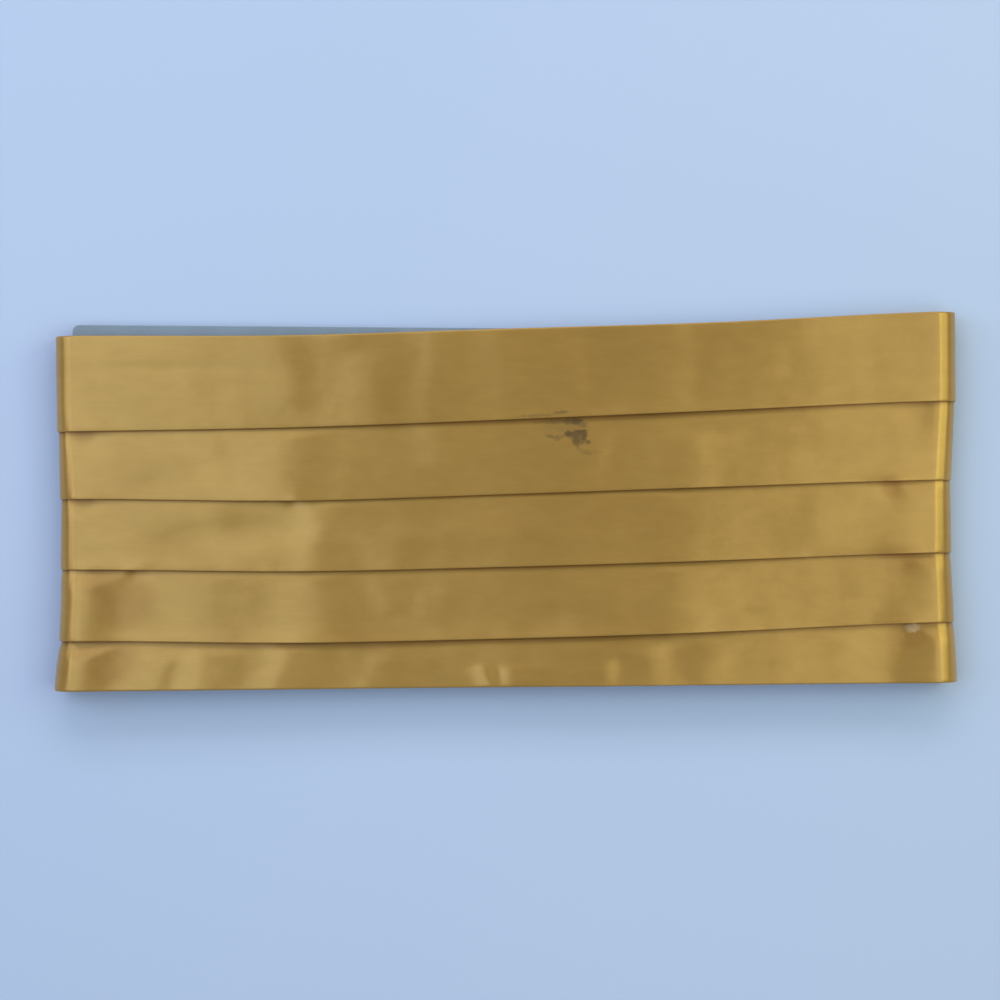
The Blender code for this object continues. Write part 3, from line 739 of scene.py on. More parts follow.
def layered_ring(x, half_depth, pocket):
    """The hidden plies cut across at x: a round-edged step for each at both edges of the panel."""
    edges = ply_edges(x)
    unit = 2 * half_depth / sum(ply.share for ply in PLIES)
    floors = [MIDDLE - half_depth]
    for ply in PLIES:
        floors.append(floors[-1] + unit * ply.share)
    low = floors[0]
    spots = [
        (CENTRE_HEIGHT - POCKET_HALF_HEIGHT - POCKET_SLOPE, low),
        (CENTRE_HEIGHT - POCKET_HALF_HEIGHT, low + pocket),
        (CENTRE_HEIGHT + POCKET_HALF_HEIGHT, low + pocket),
        (CENTRE_HEIGHT + POCKET_HALF_HEIGHT + POCKET_SLOPE, low),
    ]
    last = len(PLIES) - 1
    for i in range(last + 1):
        top, depth = edges[i][1], floors[i + 1] - floors[i]
        spots.append((top - PLY_GROOVE, floors[i]))
        for share, inset in PLY_ROUND:
            spots.append((top - inset, floors[i] + share * depth))
    lowest, highest = edges[last][0] + PLY_GROOVE, edges[last][1] - PLY_GROOVE
    spots += [(height, floors[-1]) for height in evenly(PLY_STEPS, highest, lowest)]
    for i in range(last, -1, -1):
        lower, depth = edges[i][0], floors[i + 1] - floors[i]
        for share, inset in reversed(PLY_ROUND):
            spots.append((lower + inset, floors[i] + share * depth))
        spots.append((lower + PLY_GROOVE, floors[i]))
    return [(x, height, z) for height, z in spots]


def inner_layers_mesh():
    """The lining layers inside the fold, with the edges of their plies."""
    radius = CORE_RADIUS - SEAM
    left = MIDDLE - min(line.left_reach for line in LINES)
    right = min(line.right_reach for line in LINES) - MIDDLE
    pocket = STRAP_END + SEAM
    turns = [math.radians(angle) for angle in LAYER_TURNS]
    corner = [PROUD_START + along for along in CORNER_SPOTS]
    spans = [(left - radius * math.sin(turn), radius * math.cos(turn)) for turn in turns]
    spans += [(x, math.sqrt(radius**2 - min(0.0, x - left) ** 2)) for x in corner]
    spans += [(x, radius) for x in evenly(LAYER_STEPS, LAYER_START, -pocket - SEAM)]
    spans += [(x, radius) for x in evenly(POCKET_STEPS, -pocket, pocket)]
    spans += [(x, radius) for x in evenly(LAYER_STEPS, pocket + SEAM, right)]
    spans += [(right + radius * math.sin(turn), radius * math.cos(turn)) for turn in turns[::-1]]
    rings, cloth_places = [], []
    for x, half in spans:
        ring = layered_ring(x, half, POCKET_DEPTH if abs(x) <= pocket else 0.0)
        rings.append([settled(Vector(point)) for point in ring])
        cloth_places.append([(point[0], point[1] + point[2]) for point in ring])
    return loft("inner_layers_lining", rings, cloth_places)


# ---- Tabs, straps and fastening --------------------------------------------------------------------
def tab_mesh(side, name):
    """A satin tab: a flat sleeve with rounded edges, drawn in a little along its seams."""
    half_width, half_depth = TAB_WIDTH / 2, (FACE - TAB_SUNK) / 2
    half_height = CENTRE_HEIGHT * END_SCALE
    centre_x = side * (END_OF_PLEATS - SEAM - half_width)
    centre_z = TAB_SUNK + half_depth
    rings, cloth_places = [], []
    for share in evenly(TAB_ROWS, -1.0, 1.0):
        rounding = math.sqrt(max(TAB_THINNEST, 1 - abs(share) ** TAB_ENDS))
        pucker = 1 - TAB_PUCKER * (1 + math.sin(TAB_PUCKERS * share))
        ring, places = [], []
        for turn in evenly(TAB_COLUMNS, 0, 360)[:-1]:
            a = math.radians(turn)
            c, s = math.cos(a), math.sin(a)
            x = half_width * squared(c, TAB_SIDES) * (1 - TAB_TAPER + TAB_TAPER * rounding)
            z = half_depth * squared(s, TAB_FACES) * rounding
            z *= pucker if abs(c) > TAB_SEAMS else 1.0
            y = CENTRE_HEIGHT + share * half_height
            ring.append(Vector((centre_x + x + MIDDLE_X, y + LOWER_EDGE_Y, centre_z + z)))
            places.append((x + z, y))
        rings.append(ring)
        cloth_places.append(places)
    return loft(name, rings, cloth_places)


def strap_path(side, bar):
    """From a tab to the bar of its metal piece, whose outer face is at bar, round it and back."""
    turn = bar - side * BAR
    pinch = bar + side * PINCH_REACH
    path = [
        (side * STRAP_END, LEAVING_Z),
        (pinch + side * RETURN, METAL_Z + PINCH),
        (pinch, METAL_Z + PINCH),
        (bar + side * SEAM, ABOVE),
    ]
    path += arc((turn, METAL_Z), LOOP_RADIUS, 90, 90 + side * 180, STRAP_TURN_STEPS)
    path += [
        (bar + side * SEAM, BELOW),
        (pinch, METAL_Z - PINCH),
        (pinch + side * (RETURN - PINCH_REACH), METAL_Z - PINCH),
    ]
    return path


def strap_mesh(side, name, bar):
    """Elastic webbing along its path, with lengthwise ribs and soft edges."""
    points = [Vector(point) for point in strap_path(side, bar)]
    rings, cloth_places, along = [], [], 0.0
    columns = STRAP_RIBS * RIB_STEPS
    for i, point in enumerate(points):
        ahead = points[min(i + 1, len(points) - 1)] - points[max(i - 1, 0)]
        normal = Vector((-ahead.y, ahead.x)).normalized()
        along += (point - points[i - 1]).length if i else 0.0
        ring, places = [], []
        for face in (1, -1):
            for share in evenly(columns)[::face]:
                y = CENTRE_HEIGHT + STRAP_WIDTH * (share - 0.5)
                rib = 1 - RIB_DEPTH + RIB_DEPTH * abs(math.sin(math.pi * STRAP_RIBS * share))
                edge = STRAP_SELVEDGE if share in (0.0, 1.0) else 1.0
                spot = point + normal * face * STRAP_CLOTH / 2 * rib * edge
                ring.append(Vector((spot.x + MIDDLE_X, y + LOWER_EDGE_Y, spot.y)))
                places.append((along, y))
        rings.append(ring)
        cloth_places.append(places)
    return loft(name, rings, cloth_places)


def metal_mesh(node):
    """A copy of a metal node with its edges rounded."""
    shell = bmesh.new()
    shell.from_mesh(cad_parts[node].data)
    bmesh.ops.remove_doubles(shell, verts=shell.verts, dist=0.001 * MM)
    flat = math.radians(FLAT_METAL)
    bmesh.ops.dissolve_limit(shell, angle_limit=flat, verts=shell.verts, edges=shell.edges)
    sharp = [e for e in shell.edges if e.calc_face_angle(0.0) > math.radians(ROUNDED_METAL)]
    bmesh.ops.bevel(
        shell, geom=sharp, offset=METAL_ROUNDING * MM, segments=2, affect="EDGES", profile=0.5
    )
    return finished_mesh(node, shell, SHARP_METAL)


# ---- Materials -------------------------------------------------------------------------------------
FOLD_SHADE_STRENGTH = 0.66  # how strongly painted shade darkens the satin right under a fold


def cloth_millimetres(tree):
    """The cloth's own coordinates, in millimetres along and up it."""
    cloth = add(tree, "ShaderNodeUVMap", uv_map="cloth")
    return add(tree, "ShaderNodeMapping", {"Vector": cloth, "Scale": (1 / MM, 1 / MM, 1.0)})


def drawn_out(tree, places, length, height, detail, roughness=0.5):
    """Cloudy noise along the cloth, with the length and height of its clouds in millimetres."""
    scale = (1 / length, 1 / height, 1.0)
    stretched = add(tree, "ShaderNodeMapping", {"Vector": places, "Scale": scale})
    clouds = {"Vector": stretched, "Scale": 1.0, "Detail": detail, "Roughness": roughness}
    return add(tree, "ShaderNodeTexNoise", clouds, noise_dimensions="2D")


def soft_spot(tree, places, spot):
    """A soft oval mask: as dark as the spot says in its middle and 0 outside it."""
    oval = {
        "Vector": places,
        "Location": (spot.along, spot.height, 0.0),
        "Rotation": (0.0, 0.0, math.radians(spot.turn)),
        "Scale": (spot.half_length, spot.half_height, 1.0),
    }
    local = add(tree, "ShaderNodeMapping", oval, vector_type="TEXTURE")
    ball = add(tree, "ShaderNodeTexGradient", {"Vector": local}, gradient_type="SPHERICAL")
    depth = {"Value": ball.outputs["Fac"], "From Max": 0.5, "To Max": spot.dark}
    return add(tree, "ShaderNodeMapRange", depth)


def darkest(tree, places, spots):
    """The darkest of several soft spots at each place."""
    mask = 0.0
    for spot in spots:
        oval = soft_spot(tree, places, spot)
        mask = add(tree, "ShaderNodeMath", {0: mask, 1: oval}, operation="MAXIMUM")
    return mask


def satin_material(look):
    """Duchesse satin, polyester. Long floats lie side by side, so it shines deep and soft, in its own
    gold, and the shine is drawn out across the floats. A grey-brown mark has soaked into the front."""
    made, tree, shader = new_material("duchesse_satin_polyester")
    places = cloth_millimetres(tree)

    # floats are 0.12 mm apart, too fine to show, so their streaks are drawn every 0.5 mm
    floats = drawn_out(tree, places, 16, look.thread_drawn / MM, 2.0)
    # the weft bunches up into bars a few millimetres wide, and the gold drifts slowly along the cloth
    bars = drawn_out(tree, places, 9, 4.2, 3.0, 0.6)
    drift = drawn_out(tree, places, 46, 46, 3.0, 0.55)
    mixed = add(tree, "ShaderNodeMath", {0: bars, 1: 0.6, 2: drift}, operation="MULTIPLY_ADD")
    tone = add(tree, "ShaderNodeMapRange", {"Value": mixed, "From Min": 0.55, "From Max": 1.05})
    golds = {0: tone, 6: (*look.satin_shade, 1.0), 7: (*look.satin_colour, 1.0)}
    gold = add(tree, "ShaderNodeMix", golds, data_type="RGBA")
    streak = add(tree, "ShaderNodeMapRange", {"Value": floats, "To Min": 0.965, "To Max": 1.035})
    colour = add(tree, "ShaderNodeVectorMath", {0: gold, "Scale": streak}, operation="SCALE")

    # stains and the painted shade spots have ragged edges
    rags = {"Vector": places, "Scale": 0.9, "Detail": 3.0}
    ragged = add(tree, "ShaderNodeTexNoise", rags, noise_dimensions="2D").outputs["Color"]
    centred = add(tree, "ShaderNodeVectorMath", {0: ragged, 1: (0.5,) * 3}, operation="SUBTRACT")
    moves = {0: centred, 1: (1.5, 1.5, 0.0), 2: places}
    shifted = add(tree, "ShaderNodeVectorMath", moves, operation="MULTIPLY_ADD")
    # painted shade: darker just under each fold, in its shadow, and in the spots by the tucks
    painted_fold_shadow = add(tree, "ShaderNodeAttribute", attribute_name="tucked").outputs["Fac"]
    shade_inputs = {0: painted_fold_shadow, 1: FOLD_SHADE_STRENGTH, 2: darkest(tree, shifted, SHADE_SPOTS)}
    painted_shade = add(tree, "ShaderNodeMath", shade_inputs, operation="MULTIPLY_ADD", use_clamp=True)
    mark = {0: darkest(tree, shifted, MARK), 1: look.mark_strength}
    soaked = add(tree, "ShaderNodeMath", mark, operation="MULTIPLY")
    lint = soft_spot(tree, shifted, LINT)
    # the painted shade goes on first, then the real grey-brown mark and a fleck of lint
    for mask, stain in ((painted_shade, "#82490C"), (soaked, "#46341A"), (lint, "#E0BC92")):
        stained = {0: mask, 6: colour, 7: linear(stain)}
        colour = add(tree, "ShaderNodeMix", stained, data_type="RGBA")

    rough = add(tree, "ShaderNodeMapRange", {"Value": floats, "To Min": 0.29, "To Max": 0.33})
    dulled = add(tree, "ShaderNodeMath", {0: soaked, 1: 0.25, 2: rough}, operation="MULTIPLY_ADD")
    # the cloth puckers a little between its threads
    pucker = drawn_out(tree, places, 5.5, 3.0, 2.0)
    soft = add(tree, "ShaderNodeBump", {"Height": pucker, "Strength": 1.0, "Distance": 0.035 * MM})
    threads = {"Height": floats, "Strength": 0.2, "Distance": 0.04 * MM, "Normal": soft}
    finish = {
        "Base Color": colour,
        "Roughness": dulled,
        "Normal": add(tree, "ShaderNodeBump", threads),
        "Tangent": add(tree, "ShaderNodeTangent", direction_type="UV_MAP", uv_map="cloth"),
        "Metallic": 0.4,
        "IOR": 1.54,
        "Anisotropic": 0.8,
        "Anisotropic Rotation": 0.25,
        "Sheen Weight": 0.12,
        "Sheen Roughness": 0.35,
    }
    fill(tree, shader, finish)
    return made


def lining_material(look):
    """Twill lining, polyester. A matt grey with fine slanting ribs and a slow drift in its tone."""
    made, tree, shader = new_material("twill_lining_polyester")
    places = cloth_millimetres(tree)
    # ribs are 0.3 mm apart, too fine to show, so they are drawn every 0.8 mm
    slant = {"Vector": places, "Rotation": (0.0, 0.0, math.radians(27))}
    turned = add(tree, "ShaderNodeMapping", slant)
    bands = {"Vector": turned, "Scale": wave_scale(0.8), "Distortion": 0.6, "Detail": 1.0}
    ribs = add(tree, "ShaderNodeTexWave", bands, bands_direction="Y").outputs["Fac"]
    drift = drawn_out(tree, places, 20, 20, 4.0)
    tone = add(tree, "ShaderNodeMath", {0: ribs, 1: 0.25, 2: drift}, operation="MULTIPLY_ADD")
    spread = {"Value": tone, "From Min": 0.3, "From Max": 1.0, "To Min": 0.88, "To Max": 1.08}
    greys = {0: look.lining_colour, "Scale": add(tree, "ShaderNodeMapRange", spread)}
    relief = {"Height": ribs, "Strength": 0.5, "Distance": 0.08 * MM}
    finish = {
        "Base Color": add(tree, "ShaderNodeVectorMath", greys, operation="SCALE"),
        "Normal": add(tree, "ShaderNodeBump", relief),
        "Roughness": 0.72,
        "Sheen Weight": 0.2,
    }
    fill(tree, shader, finish)
    return made


def elastic_material(look):
    """Woven elastic webbing. Dull gold yarn over rubber cores, with fine ridges across each rib."""
    made, tree, shader = new_material("woven_elastic_webbing")
    places = cloth_millimetres(tree)
    bands = {"Vector": places, "Scale": wave_scale(0.7), "Distortion": 0.8, "Detail": 1.0}
    picks = add(tree, "ShaderNodeTexWave", bands, bands_direction="X").outputs["Fac"]
    hairs = {"Vector": places, "Scale": 1.4, "Detail": 3.0}
    fuzz = add(tree, "ShaderNodeTexNoise", hairs, noise_dimensions="2D")
    mixed = add(tree, "ShaderNodeMath", {0: picks, 1: 0.4, 2: fuzz}, operation="MULTIPLY_ADD")
    spread = {"Value": mixed, "From Min": 0.3, "From Max": 1.1, "To Min": 0.7, "To Max": 1.2}
    golds = {0: look.elastic_colour, "Scale": add(tree, "ShaderNodeMapRange", spread)}
    relief = {"Height": mixed, "Strength": 0.6, "Distance": 0.15 * MM}
    finish = {
        "Base Color": add(tree, "ShaderNodeVectorMath", golds, operation="SCALE"),
        "Normal": add(tree, "ShaderNodeBump", relief),
        "Roughness": 0.8,
        "Sheen Weight": 0.25,
    }
    fill(tree, shader, finish)
    return made


def brass_material():
    """Pressed brass plate, lacquered. Soft rolling lines and a little tarnish dull its shine."""
    made, tree, shader = new_material("lacquered_brass_plate")
    own = add(tree, "ShaderNodeTexCoord").outputs["Object"]
    places = add(tree, "ShaderNodeMapping", {"Vector": own, "Scale": (1 / MM,) * 3})
    rolled = add(tree, "ShaderNodeMapping", {"Vector": places, "Scale": (0.15, 4.0, 4.0)})
    lines = add(tree, "ShaderNodeTexNoise", {"Vector": rolled, "Scale": 1.0, "Detail": 2.0})
    tarnish = add(tree, "ShaderNodeTexNoise", {"Vector": places, "Scale": 0.35, "Detail": 4.0})
    cloud = add(tree, "ShaderNodeMapRange", {"Value": tarnish, "From Min": 0.5, "From Max": 0.9})
    metals = {0: cloud, 6: linear("#D9B868"), 7: linear("#A07A3A")}
    rough = {"Value": lines, "To Min": 0.18, "To Max": 0.38}
    finish = {
        "Base Color": add(tree, "ShaderNodeMix", metals, data_type="RGBA"),
        "Roughness": add(tree, "ShaderNodeMapRange", rough),
        "Metallic": 1.0,
    }
    fill(tree, shader, finish)
    return made


def thread_material():
    """Spun polyester sewing thread. Two plies twist round each other, with a dry sheen."""
    made, tree, shader = new_material("spun_polyester_thread")
    own = add(tree, "ShaderNodeTexCoord").outputs["Object"]
    slant = {"Vector": own, "Rotation": (0.0, 0.0, math.radians(38)), "Scale": (1 / MM,) * 3}
    turned = add(tree, "ShaderNodeMapping", slant)
    twist = add(tree, "ShaderNodeTexWave", {"Vector": turned, "Scale": wave_scale(0.45)})
    plies = {0: twist.outputs["Fac"], 6: linear("#8F6F26"), 7: linear("#C6A150")}
    colour = add(tree, "ShaderNodeMix", plies, data_type="RGBA")
    fill(tree, shader, {"Base Color": colour, "Roughness": 0.6})
    return made


def floor_material(stage):
    """Matt painted board: pale, with a trace of cloudiness in its coat."""
    made, tree, shader = new_material("matt_painted_board")
    own = add(tree, "ShaderNodeTexCoord").outputs["Object"]
    cloud = add(tree, "ShaderNodeTexNoise", {"Vector": own, "Scale": 3.0, "Detail": 2.0})
    tone = add(tree, "ShaderNodeMapRange", {"Value": cloud, "To Min": 0.97, "To Max": 1.03})
    coat = {0: stage.floor_colour, "Scale": tone}
    colour = add(tree, "ShaderNodeVectorMath", coat, operation="SCALE")
    fill(tree, shader, {"Base Color": colour, "Roughness": 0.9, "Specular IOR Level": 0.2})
    return made


# ---- Stitches, by Geometry Nodes -------------------------------------------------------------------
def stitch_tree(thread):
    """Lays a row of stitches along every seam line it is given."""
    tree = bpy.data.node_groups.new("seam_stitches", "GeometryNodeTree")
    tree.interface.new_socket("Seams", in_out="INPUT", socket_type="NodeSocketGeometry")
    for name in ("Pitch", "Stitch length", "Thread width", "Unevenness"):
        tree.interface.new_socket(name, in_out="INPUT", socket_type="NodeSocketFloat")
    tree.interface.new_socket("Seed", in_out="INPUT", socket_type="NodeSocketInt")
    tree.interface.new_socket("Stitches", in_out="OUTPUT", socket_type="NodeSocketGeometry")
    given = add(tree, "NodeGroupInput").outputs
    line = add(tree, "GeometryNodeMeshToCurve", {"Mesh": given["Seams"]})
    spacing = {"Curve": line, "Length": given["Pitch"]}
    points = add(tree, "GeometryNodeCurveToPoints", spacing, mode="LENGTH")
    ball = add(tree, "GeometryNodeMeshUVSphere", {"Segments": 8, "Rings": 6, "Radius": 0.5})
    width = given["Thread width"]
    size = add(tree, "ShaderNodeCombineXYZ", {"X": width, "Y": width, "Z": given["Stitch length"]})
    chance = {0: (-1.0,) * 3, 1: (1.0,) * 3, "Seed": given["Seed"]}
    wobble = add(tree, "FunctionNodeRandomValue", chance, data_type="FLOAT_VECTOR")
    turns = {0: wobble, "Scale": given["Unevenness"]}
    turn = add(tree, "ShaderNodeVectorMath", turns, operation="SCALE")
    stitch = {"Points": points, "Instance": ball, "Rotation": points.outputs["Rotation"], "Scale": size}
    laid = add(tree, "GeometryNodeInstanceOnPoints", stitch)
    turned = add(tree, "GeometryNodeRotateInstances", {"Instances": laid, "Rotation": turn})
    real = add(tree, "GeometryNodeRealizeInstances", {"Geometry": turned})
    shaded = add(tree, "GeometryNodeSetShadeSmooth", {"Geometry": real})
    dressed = add(tree, "GeometryNodeSetMaterial", {"Geometry": shaded, "Material": thread})
    add(tree, "NodeGroupOutput", {"Stitches": dressed})
    return tree


def seam_mesh(seams):
    """Bare edges along each seam, for the stitches to follow."""
    points, edges = [], []
    for seam in seams:
        start = len(points)
        points += [Vector(point) * MM for point in seam]
        edges += [(start + i, start + i + 1) for i in range(len(seam) - 1)]
    mesh = bpy.data.meshes.new("seams")
    mesh.from_pydata(points, edges, [])
    return mesh


def stitched(name, seams, sizes, thread):
    """Stitches along seams, as one plain piece."""
    guide = bpy.data.objects.new(f"{name}_guide", seam_mesh(seams))
    bpy.context.scene.collection.objects.link(guide)
    tree = stitch_tree(thread)
    sewn = guide.modifiers.new("stitches", "NODES")
    sewn.node_group = tree
    for item in tree.interface.items_tree:
        if item.in_out == "INPUT" and item.name in sizes:
            sewn[item.identifier] = sizes[item.name]
    ready = guide.evaluated_get(bpy.context.evaluated_depsgraph_get())
    mesh = bpy.data.meshes.new_from_object(ready)
    mesh.name = name
    guide.modifiers.remove(sewn)
    bpy.data.objects.remove(guide)
    return add_object(name, mesh, thread, "elastic")


# ---- Settings --------------------------------------------------------------------------------------
COLOUR = {"subtype": "COLOR", "min": 0.0, "max": 1.0}
LENGTH = {"subtype": "DISTANCE", "unit": "LENGTH"}


class CummerbundLook(bpy.types.PropertyGroup):
    """Colours and fineness of the garment's cloth."""

    satin_colour: FloatVectorProperty(
        name="Satin", description="Colour of the satin where it is lightest",
        default=linear("#B98D47")[:3], **COLOUR,
    )
    satin_shade: FloatVectorProperty(
        name="Satin shade", description="Colour of the satin where it is deepest",
        default=linear("#AF8440")[:3], **COLOUR,
    )
    lining_colour: FloatVectorProperty(
        name="Lining", description="Colour of the twill lining",
        default=linear("#8490A4")[:3], **COLOUR,
    )
    elastic_colour: FloatVectorProperty(
        name="Elastic", description="Colour of the elastic straps",
        default=linear("#9A7A38")[:3], **COLOUR,
    )
    thread_drawn: FloatProperty(
        name="Thread streaks", description="Spacing of the satin's streaks as they are drawn",
        default=0.5 * MM, min=0.1 * MM, **LENGTH,
    )
    crease_depth: FloatProperty(
        name="Crease depth", description="How deep the creases are, as a share of their own rise",
        default=1.5, min=0.0, max=3.0, subtype="FACTOR",
    )
    mark_strength: FloatProperty(
        name="Mark", description="How strongly the mark on the front shows",
        default=0.8, min=0.0, max=1.0, subtype="FACTOR",
    )


class CummerbundSewing(bpy.types.PropertyGroup):
    """Sizes of the stitches on the tabs and straps."""

    pitch: FloatProperty(
        name="Pitch", description="From the start of one stitch to the start of the next",
        default=2.6 * MM, min=0.5 * MM, **LENGTH,
    )
    length: FloatProperty(
        name="Stitch length", description="Length of thread that shows in one stitch",
        default=2.1 * MM, min=0.3 * MM, **LENGTH,
    )
    width: FloatProperty(
        name="Thread width", description="Thickness of the sewing thread",
        default=0.35 * MM, min=0.1 * MM, **LENGTH,
    )
    seed: IntProperty(name="Seed", description="Chooses how the stitches are uneven", default=4, min=0)


class CummerbundStage(bpy.types.PropertyGroup):
    """The floor, the lamps and the camera."""

    floor_colour: FloatVectorProperty(
        name="Floor", description="Colour of the board that the garment lies on",
        default=linear("#BDC8E8")[:3], **COLOUR,
    )
    lamp_level: FloatProperty(
        name="Lamps", description="Share of the lamps' full power", default=1.0, min=0.0
    )
    camera_height: FloatProperty(
        name="Camera height", description="From the garment's front to the camera",
        default=0.808, min=0.2, **LENGTH,
    )
    camera_turn: FloatProperty(
        name="Camera turn", description="How far the camera is turned about its own axis",
        default=-0.0102, subtype="ANGLE", unit="ROTATION",
    )


# ---- Operators -------------------------------------------------------------------------------------
class CUMMERBUND_OT_pleats(bpy.types.Operator):
    """Make the satin pleats"""

    bl_idname = "cummerbund.pleats"
    bl_label = "Pleats"

    def execute(self, context):
        look = context.scene.cummerbund_look
        satin = satin_material(look)
        for number in range(1, len(LINES)):
            mesh = pleat_mesh(number, look.crease_depth)
            pleat = add_object(mesh.name, mesh, satin, "satin")
            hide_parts(LINES[number].name)
            width = LINES[number - 1].middle - LINES[number].middle
            width += (0 if number == 1 else TUCK) + CLOTH
        return {"FINISHED"}


class CUMMERBUND_OT_inner_layers(bpy.types.Operator):
    """Make the hidden lining layers"""

    bl_idname = "cummerbund.inner_layers"
    bl_label = "Inner layers"

    def execute(self, context):
        mesh = inner_layers_mesh()
        lining = lining_material(context.scene.cummerbund_look)
        layers = add_object(mesh.name, mesh, lining, "lining")
        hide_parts("inner_layers")
        return {"FINISHED"}


class CUMMERBUND_OT_end_tabs(bpy.types.Operator):
    """Make the satin tabs that close the ends of the pleats"""

    bl_idname = "cummerbund.end_tabs"
    bl_label = "End tabs"

    def execute(self, context):
        satin = bpy.data.materials["duchesse_satin_polyester"]
        for side, node in ((-1, "end_tab_left"), (1, "end_tab_right")):
            tab = add_object(f"satin_{node}", tab_mesh(side, node), satin, "satin")
            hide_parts(node)
        return {"FINISHED"}


class CUMMERBUND_OT_straps(bpy.types.Operator):
    """Make the two elastic straps"""

    bl_idname = "cummerbund.straps"
    bl_label = "Straps"

    def execute(self, context):
        elastic = elastic_material(context.scene.cummerbund_look)
        for (side, bar), node in zip(STRAP_BARS, ("strap_left", "strap_right")):
            strap = add_object(f"elastic_{node}", strap_mesh(side, node, bar), elastic, "elastic")
            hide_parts(node)
            points = [Vector(point) for point in strap_path(side, bar)]
        return {"FINISHED"}


class CUMMERBUND_OT_fastening(bpy.types.Operator):
    """Make the brass hook and eye"""

    bl_idname = "cummerbund.fastening"
    bl_label = "Hook and eye"

    def execute(self, context):
        brass = brass_material()
        for node in ("hook", "eye"):
            piece = add_object(f"brass_{node}", metal_mesh(node), brass, "brass")
            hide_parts(node)
        return {"FINISHED"}


class CUMMERBUND_OT_stitches(bpy.types.Operator):
    """Sew the stitches on the tabs and straps"""

    bl_idname = "cummerbund.stitches"
    bl_label = "Stitches"

    def execute(self, context):
        sewing = context.scene.cummerbund_sewing
        sizes = {
            "Pitch": sewing.pitch,
            "Stitch length": sewing.length,
            "Thread width": sewing.width,
            "Unevenness": STITCH_UNEVENNESS,
            "Seed": sewing.seed,
        }
        lines = []
        for side in (-1, 1):
            half = CENTRE_HEIGHT * END_SCALE - TAB_SEAM_END
            for inset in (TAB_SEAM_INSET, TAB_WIDTH - TAB_SEAM_INSET):
                lines.append((side * (END_OF_PLEATS - SEAM - inset), half, TAB_SUNK + STITCH_SUNK))
        for side, bar in STRAP_BARS:
            half, z = STRAP_WIDTH / 2 - STRAP_SEAM_END, METAL_Z - PINCH - STRAP_CLOTH / 2
            for reach in (PINCH_REACH + STRAP_SEAM_INSET, RETURN - STRAP_SEAM_INSET):
                lines.append((bar + side * reach, half, z))
        centre = LOWER_EDGE_Y + CENTRE_HEIGHT
        seams = [[(x + MIDDLE_X, centre + half * end, z) for end in (-1, 1)] for x, half, z in lines]
        thread = thread_material()
        stitched("sewing_stitches", seams, sizes, thread)
        return {"FINISHED"}


Lamp = namedtuple("Lamp", "name x y z width height watts colour")
LAMPS = (
    Lamp("left_overhead", -0.53, 0.15, 1.10, 0.82, 1.1, 5.4, "#CFECFF"),
    Lamp("right_overhead", 0.60, -0.10, 1.10, 0.82, 1.1, 4.5, "#EEFFF4"),
    Lamp("left_softbox", -0.98, 0.30, 0.72, 0.36, 0.8, 2.5, "#E2F3FF"),
    Lamp("right_softbox", 0.93, 0.30, 0.72, 0.50, 0.8, 3.8, "#EFFFC4"),
    Lamp("upper_softbox", 0.0, 1.10, 0.85, 1.6, 0.5, 7.2, "#FFFFFF"),
)
WORLD_LEVEL = 0.18
HORIZON_LEVEL, HORIZON_HEIGHT = 0.6, 0.35
FLOOR_HALF, FLOOR_DROP = 3.0, 0.1 * MM
CAMERA_X, CAMERA_Y = -2.0 * MM, 0.6 * MM
LENS = 85.0


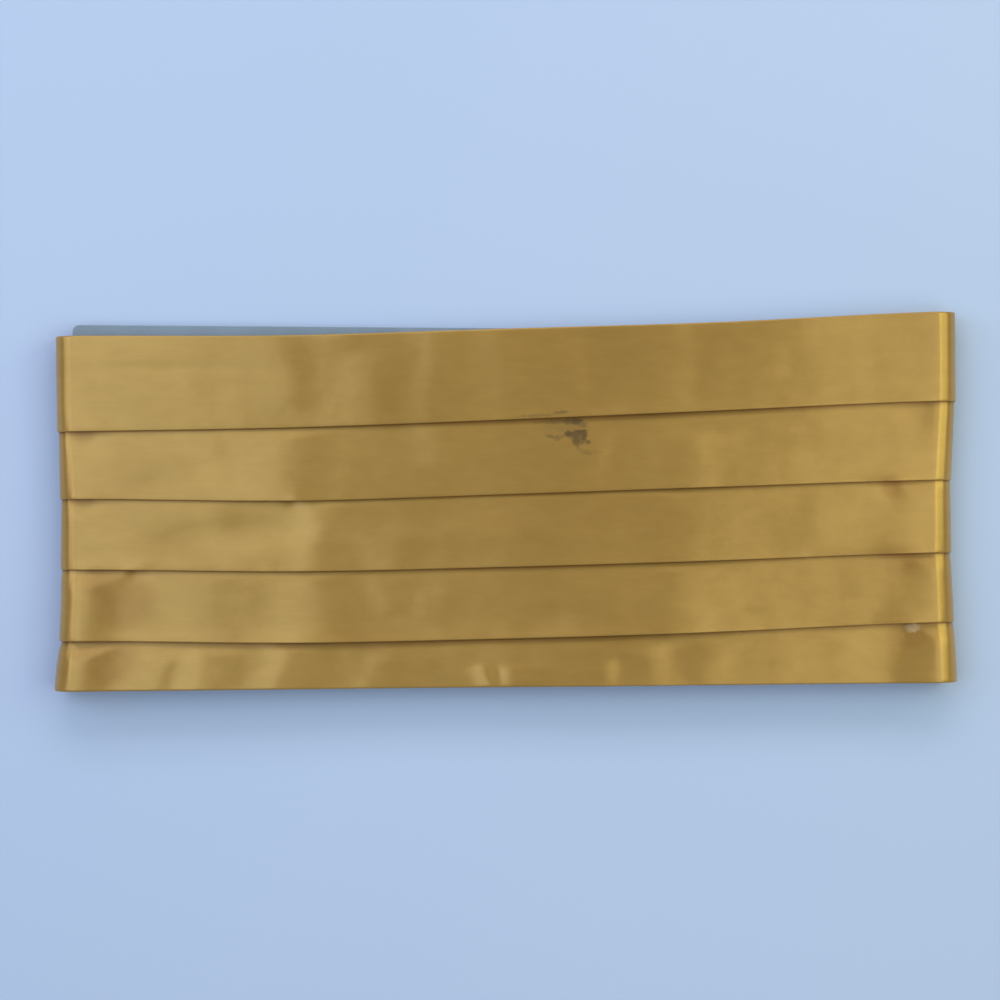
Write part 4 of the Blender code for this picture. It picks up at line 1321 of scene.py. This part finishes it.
class CUMMERBUND_OT_stage(bpy.types.Operator):
    """Set the floor, the lamps and the camera"""

    bl_idname = "cummerbund.stage"
    bl_label = "Stage"

    def execute(self, context):
        scene = context.scene
        stage = scene.cummerbund_stage
        scene.view_settings.view_transform = "Standard"

        mesh = bpy.data.meshes.new("floor")
        board = bmesh.new()
        bmesh.ops.create_grid(board, x_segments=1, y_segments=1, size=FLOOR_HALF)
        bmesh.ops.translate(board, vec=(0.0, 0.0, -FLOOR_DROP), verts=board.verts)
        board.to_mesh(mesh)
        board.free()
        floor = add_object("floor", mesh, floor_material(stage))

        for lamp in LAMPS:
            light = bpy.data.lights.new(lamp.name, "AREA")
            light.shape = "RECTANGLE"
            light.size, light.size_y = lamp.width, lamp.height
            light.energy = lamp.watts * stage.lamp_level
            light.color = linear(lamp.colour)[:3]
            hung = bpy.data.objects.new(lamp.name, light)
            hung.location = (lamp.x, lamp.y, lamp.z)
            back = hung.location.normalized()
            across = Vector((0.0, 1.0, 0.0)).cross(back).normalized()
            hung.rotation_euler = Matrix((across, back.cross(across), back)).transposed().to_euler()
            scene.collection.objects.link(hung)

        world = bpy.data.worlds.new("pale_room")
        world.use_nodes = True
        tree = world.node_tree
        tree.nodes.clear()
        view = add(tree, "ShaderNodeTexCoord")
        height = add(tree, "ShaderNodeSeparateXYZ", {"Vector": view.outputs["Generated"]}).outputs["Z"]
        fall = {"From Max": HORIZON_HEIGHT, "To Min": HORIZON_LEVEL, "To Max": WORLD_LEVEL}
        level = add(tree, "ShaderNodeMapRange", {"Value": height, **fall})
        air = add(tree, "ShaderNodeBackground", {"Color": linear("#EEF2FA"), "Strength": level})
        add(tree, "ShaderNodeOutputWorld", {"Surface": air})
        scene.world = world

        camera = bpy.data.objects.new("camera", bpy.data.cameras.new("camera"))
        camera.data.lens = LENS
        camera.location = (CAMERA_X, CAMERA_Y, PACKET_DEPTH * MM + stage.camera_height)
        camera.rotation_euler = (0.0, 0.0, stage.camera_turn)
        scene.collection.objects.link(camera)
        scene.camera = camera
        return {"FINISHED"}


OPERATORS = (
    CUMMERBUND_OT_pleats,
    CUMMERBUND_OT_inner_layers,
    CUMMERBUND_OT_end_tabs,
    CUMMERBUND_OT_straps,
    CUMMERBUND_OT_fastening,
    CUMMERBUND_OT_stitches,
    CUMMERBUND_OT_stage,
)
SETTINGS = {
    "cummerbund_look": CummerbundLook,
    "cummerbund_sewing": CummerbundSewing,
    "cummerbund_stage": CummerbundStage,
}


class CUMMERBUND_PT_panel(bpy.types.Panel):
    """The cummerbund's sizes, colours and pieces"""

    bl_idname = "CUMMERBUND_PT_panel"
    bl_label = "Folded cummerbund"
    bl_space_type = "VIEW_3D"
    bl_region_type = "UI"
    bl_category = "Cummerbund"

    def draw(self, context):
        for name, group in SETTINGS.items():
            box = self.layout.box()
            for setting in group.__annotations__:
                box.prop(getattr(context.scene, name), setting)
        for operator in OPERATORS:
            self.layout.operator(operator.bl_idname)


CLASSES = (*SETTINGS.values(), *OPERATORS, CUMMERBUND_PT_panel)


def register():
    for kind in CLASSES:
        bpy.utils.register_class(kind)
    for name, group in SETTINGS.items():
        setattr(bpy.types.Scene, name, PointerProperty(type=group))


def unregister():
    for name in SETTINGS:
        delattr(bpy.types.Scene, name)
    for kind in reversed(CLASSES):
        bpy.utils.unregister_class(kind)


def main():
    register()
    for operator in OPERATORS:
        group, name = operator.bl_idname.split(".")
        getattr(getattr(bpy.ops, group), name)()


if __name__ == "__main__":
    main()
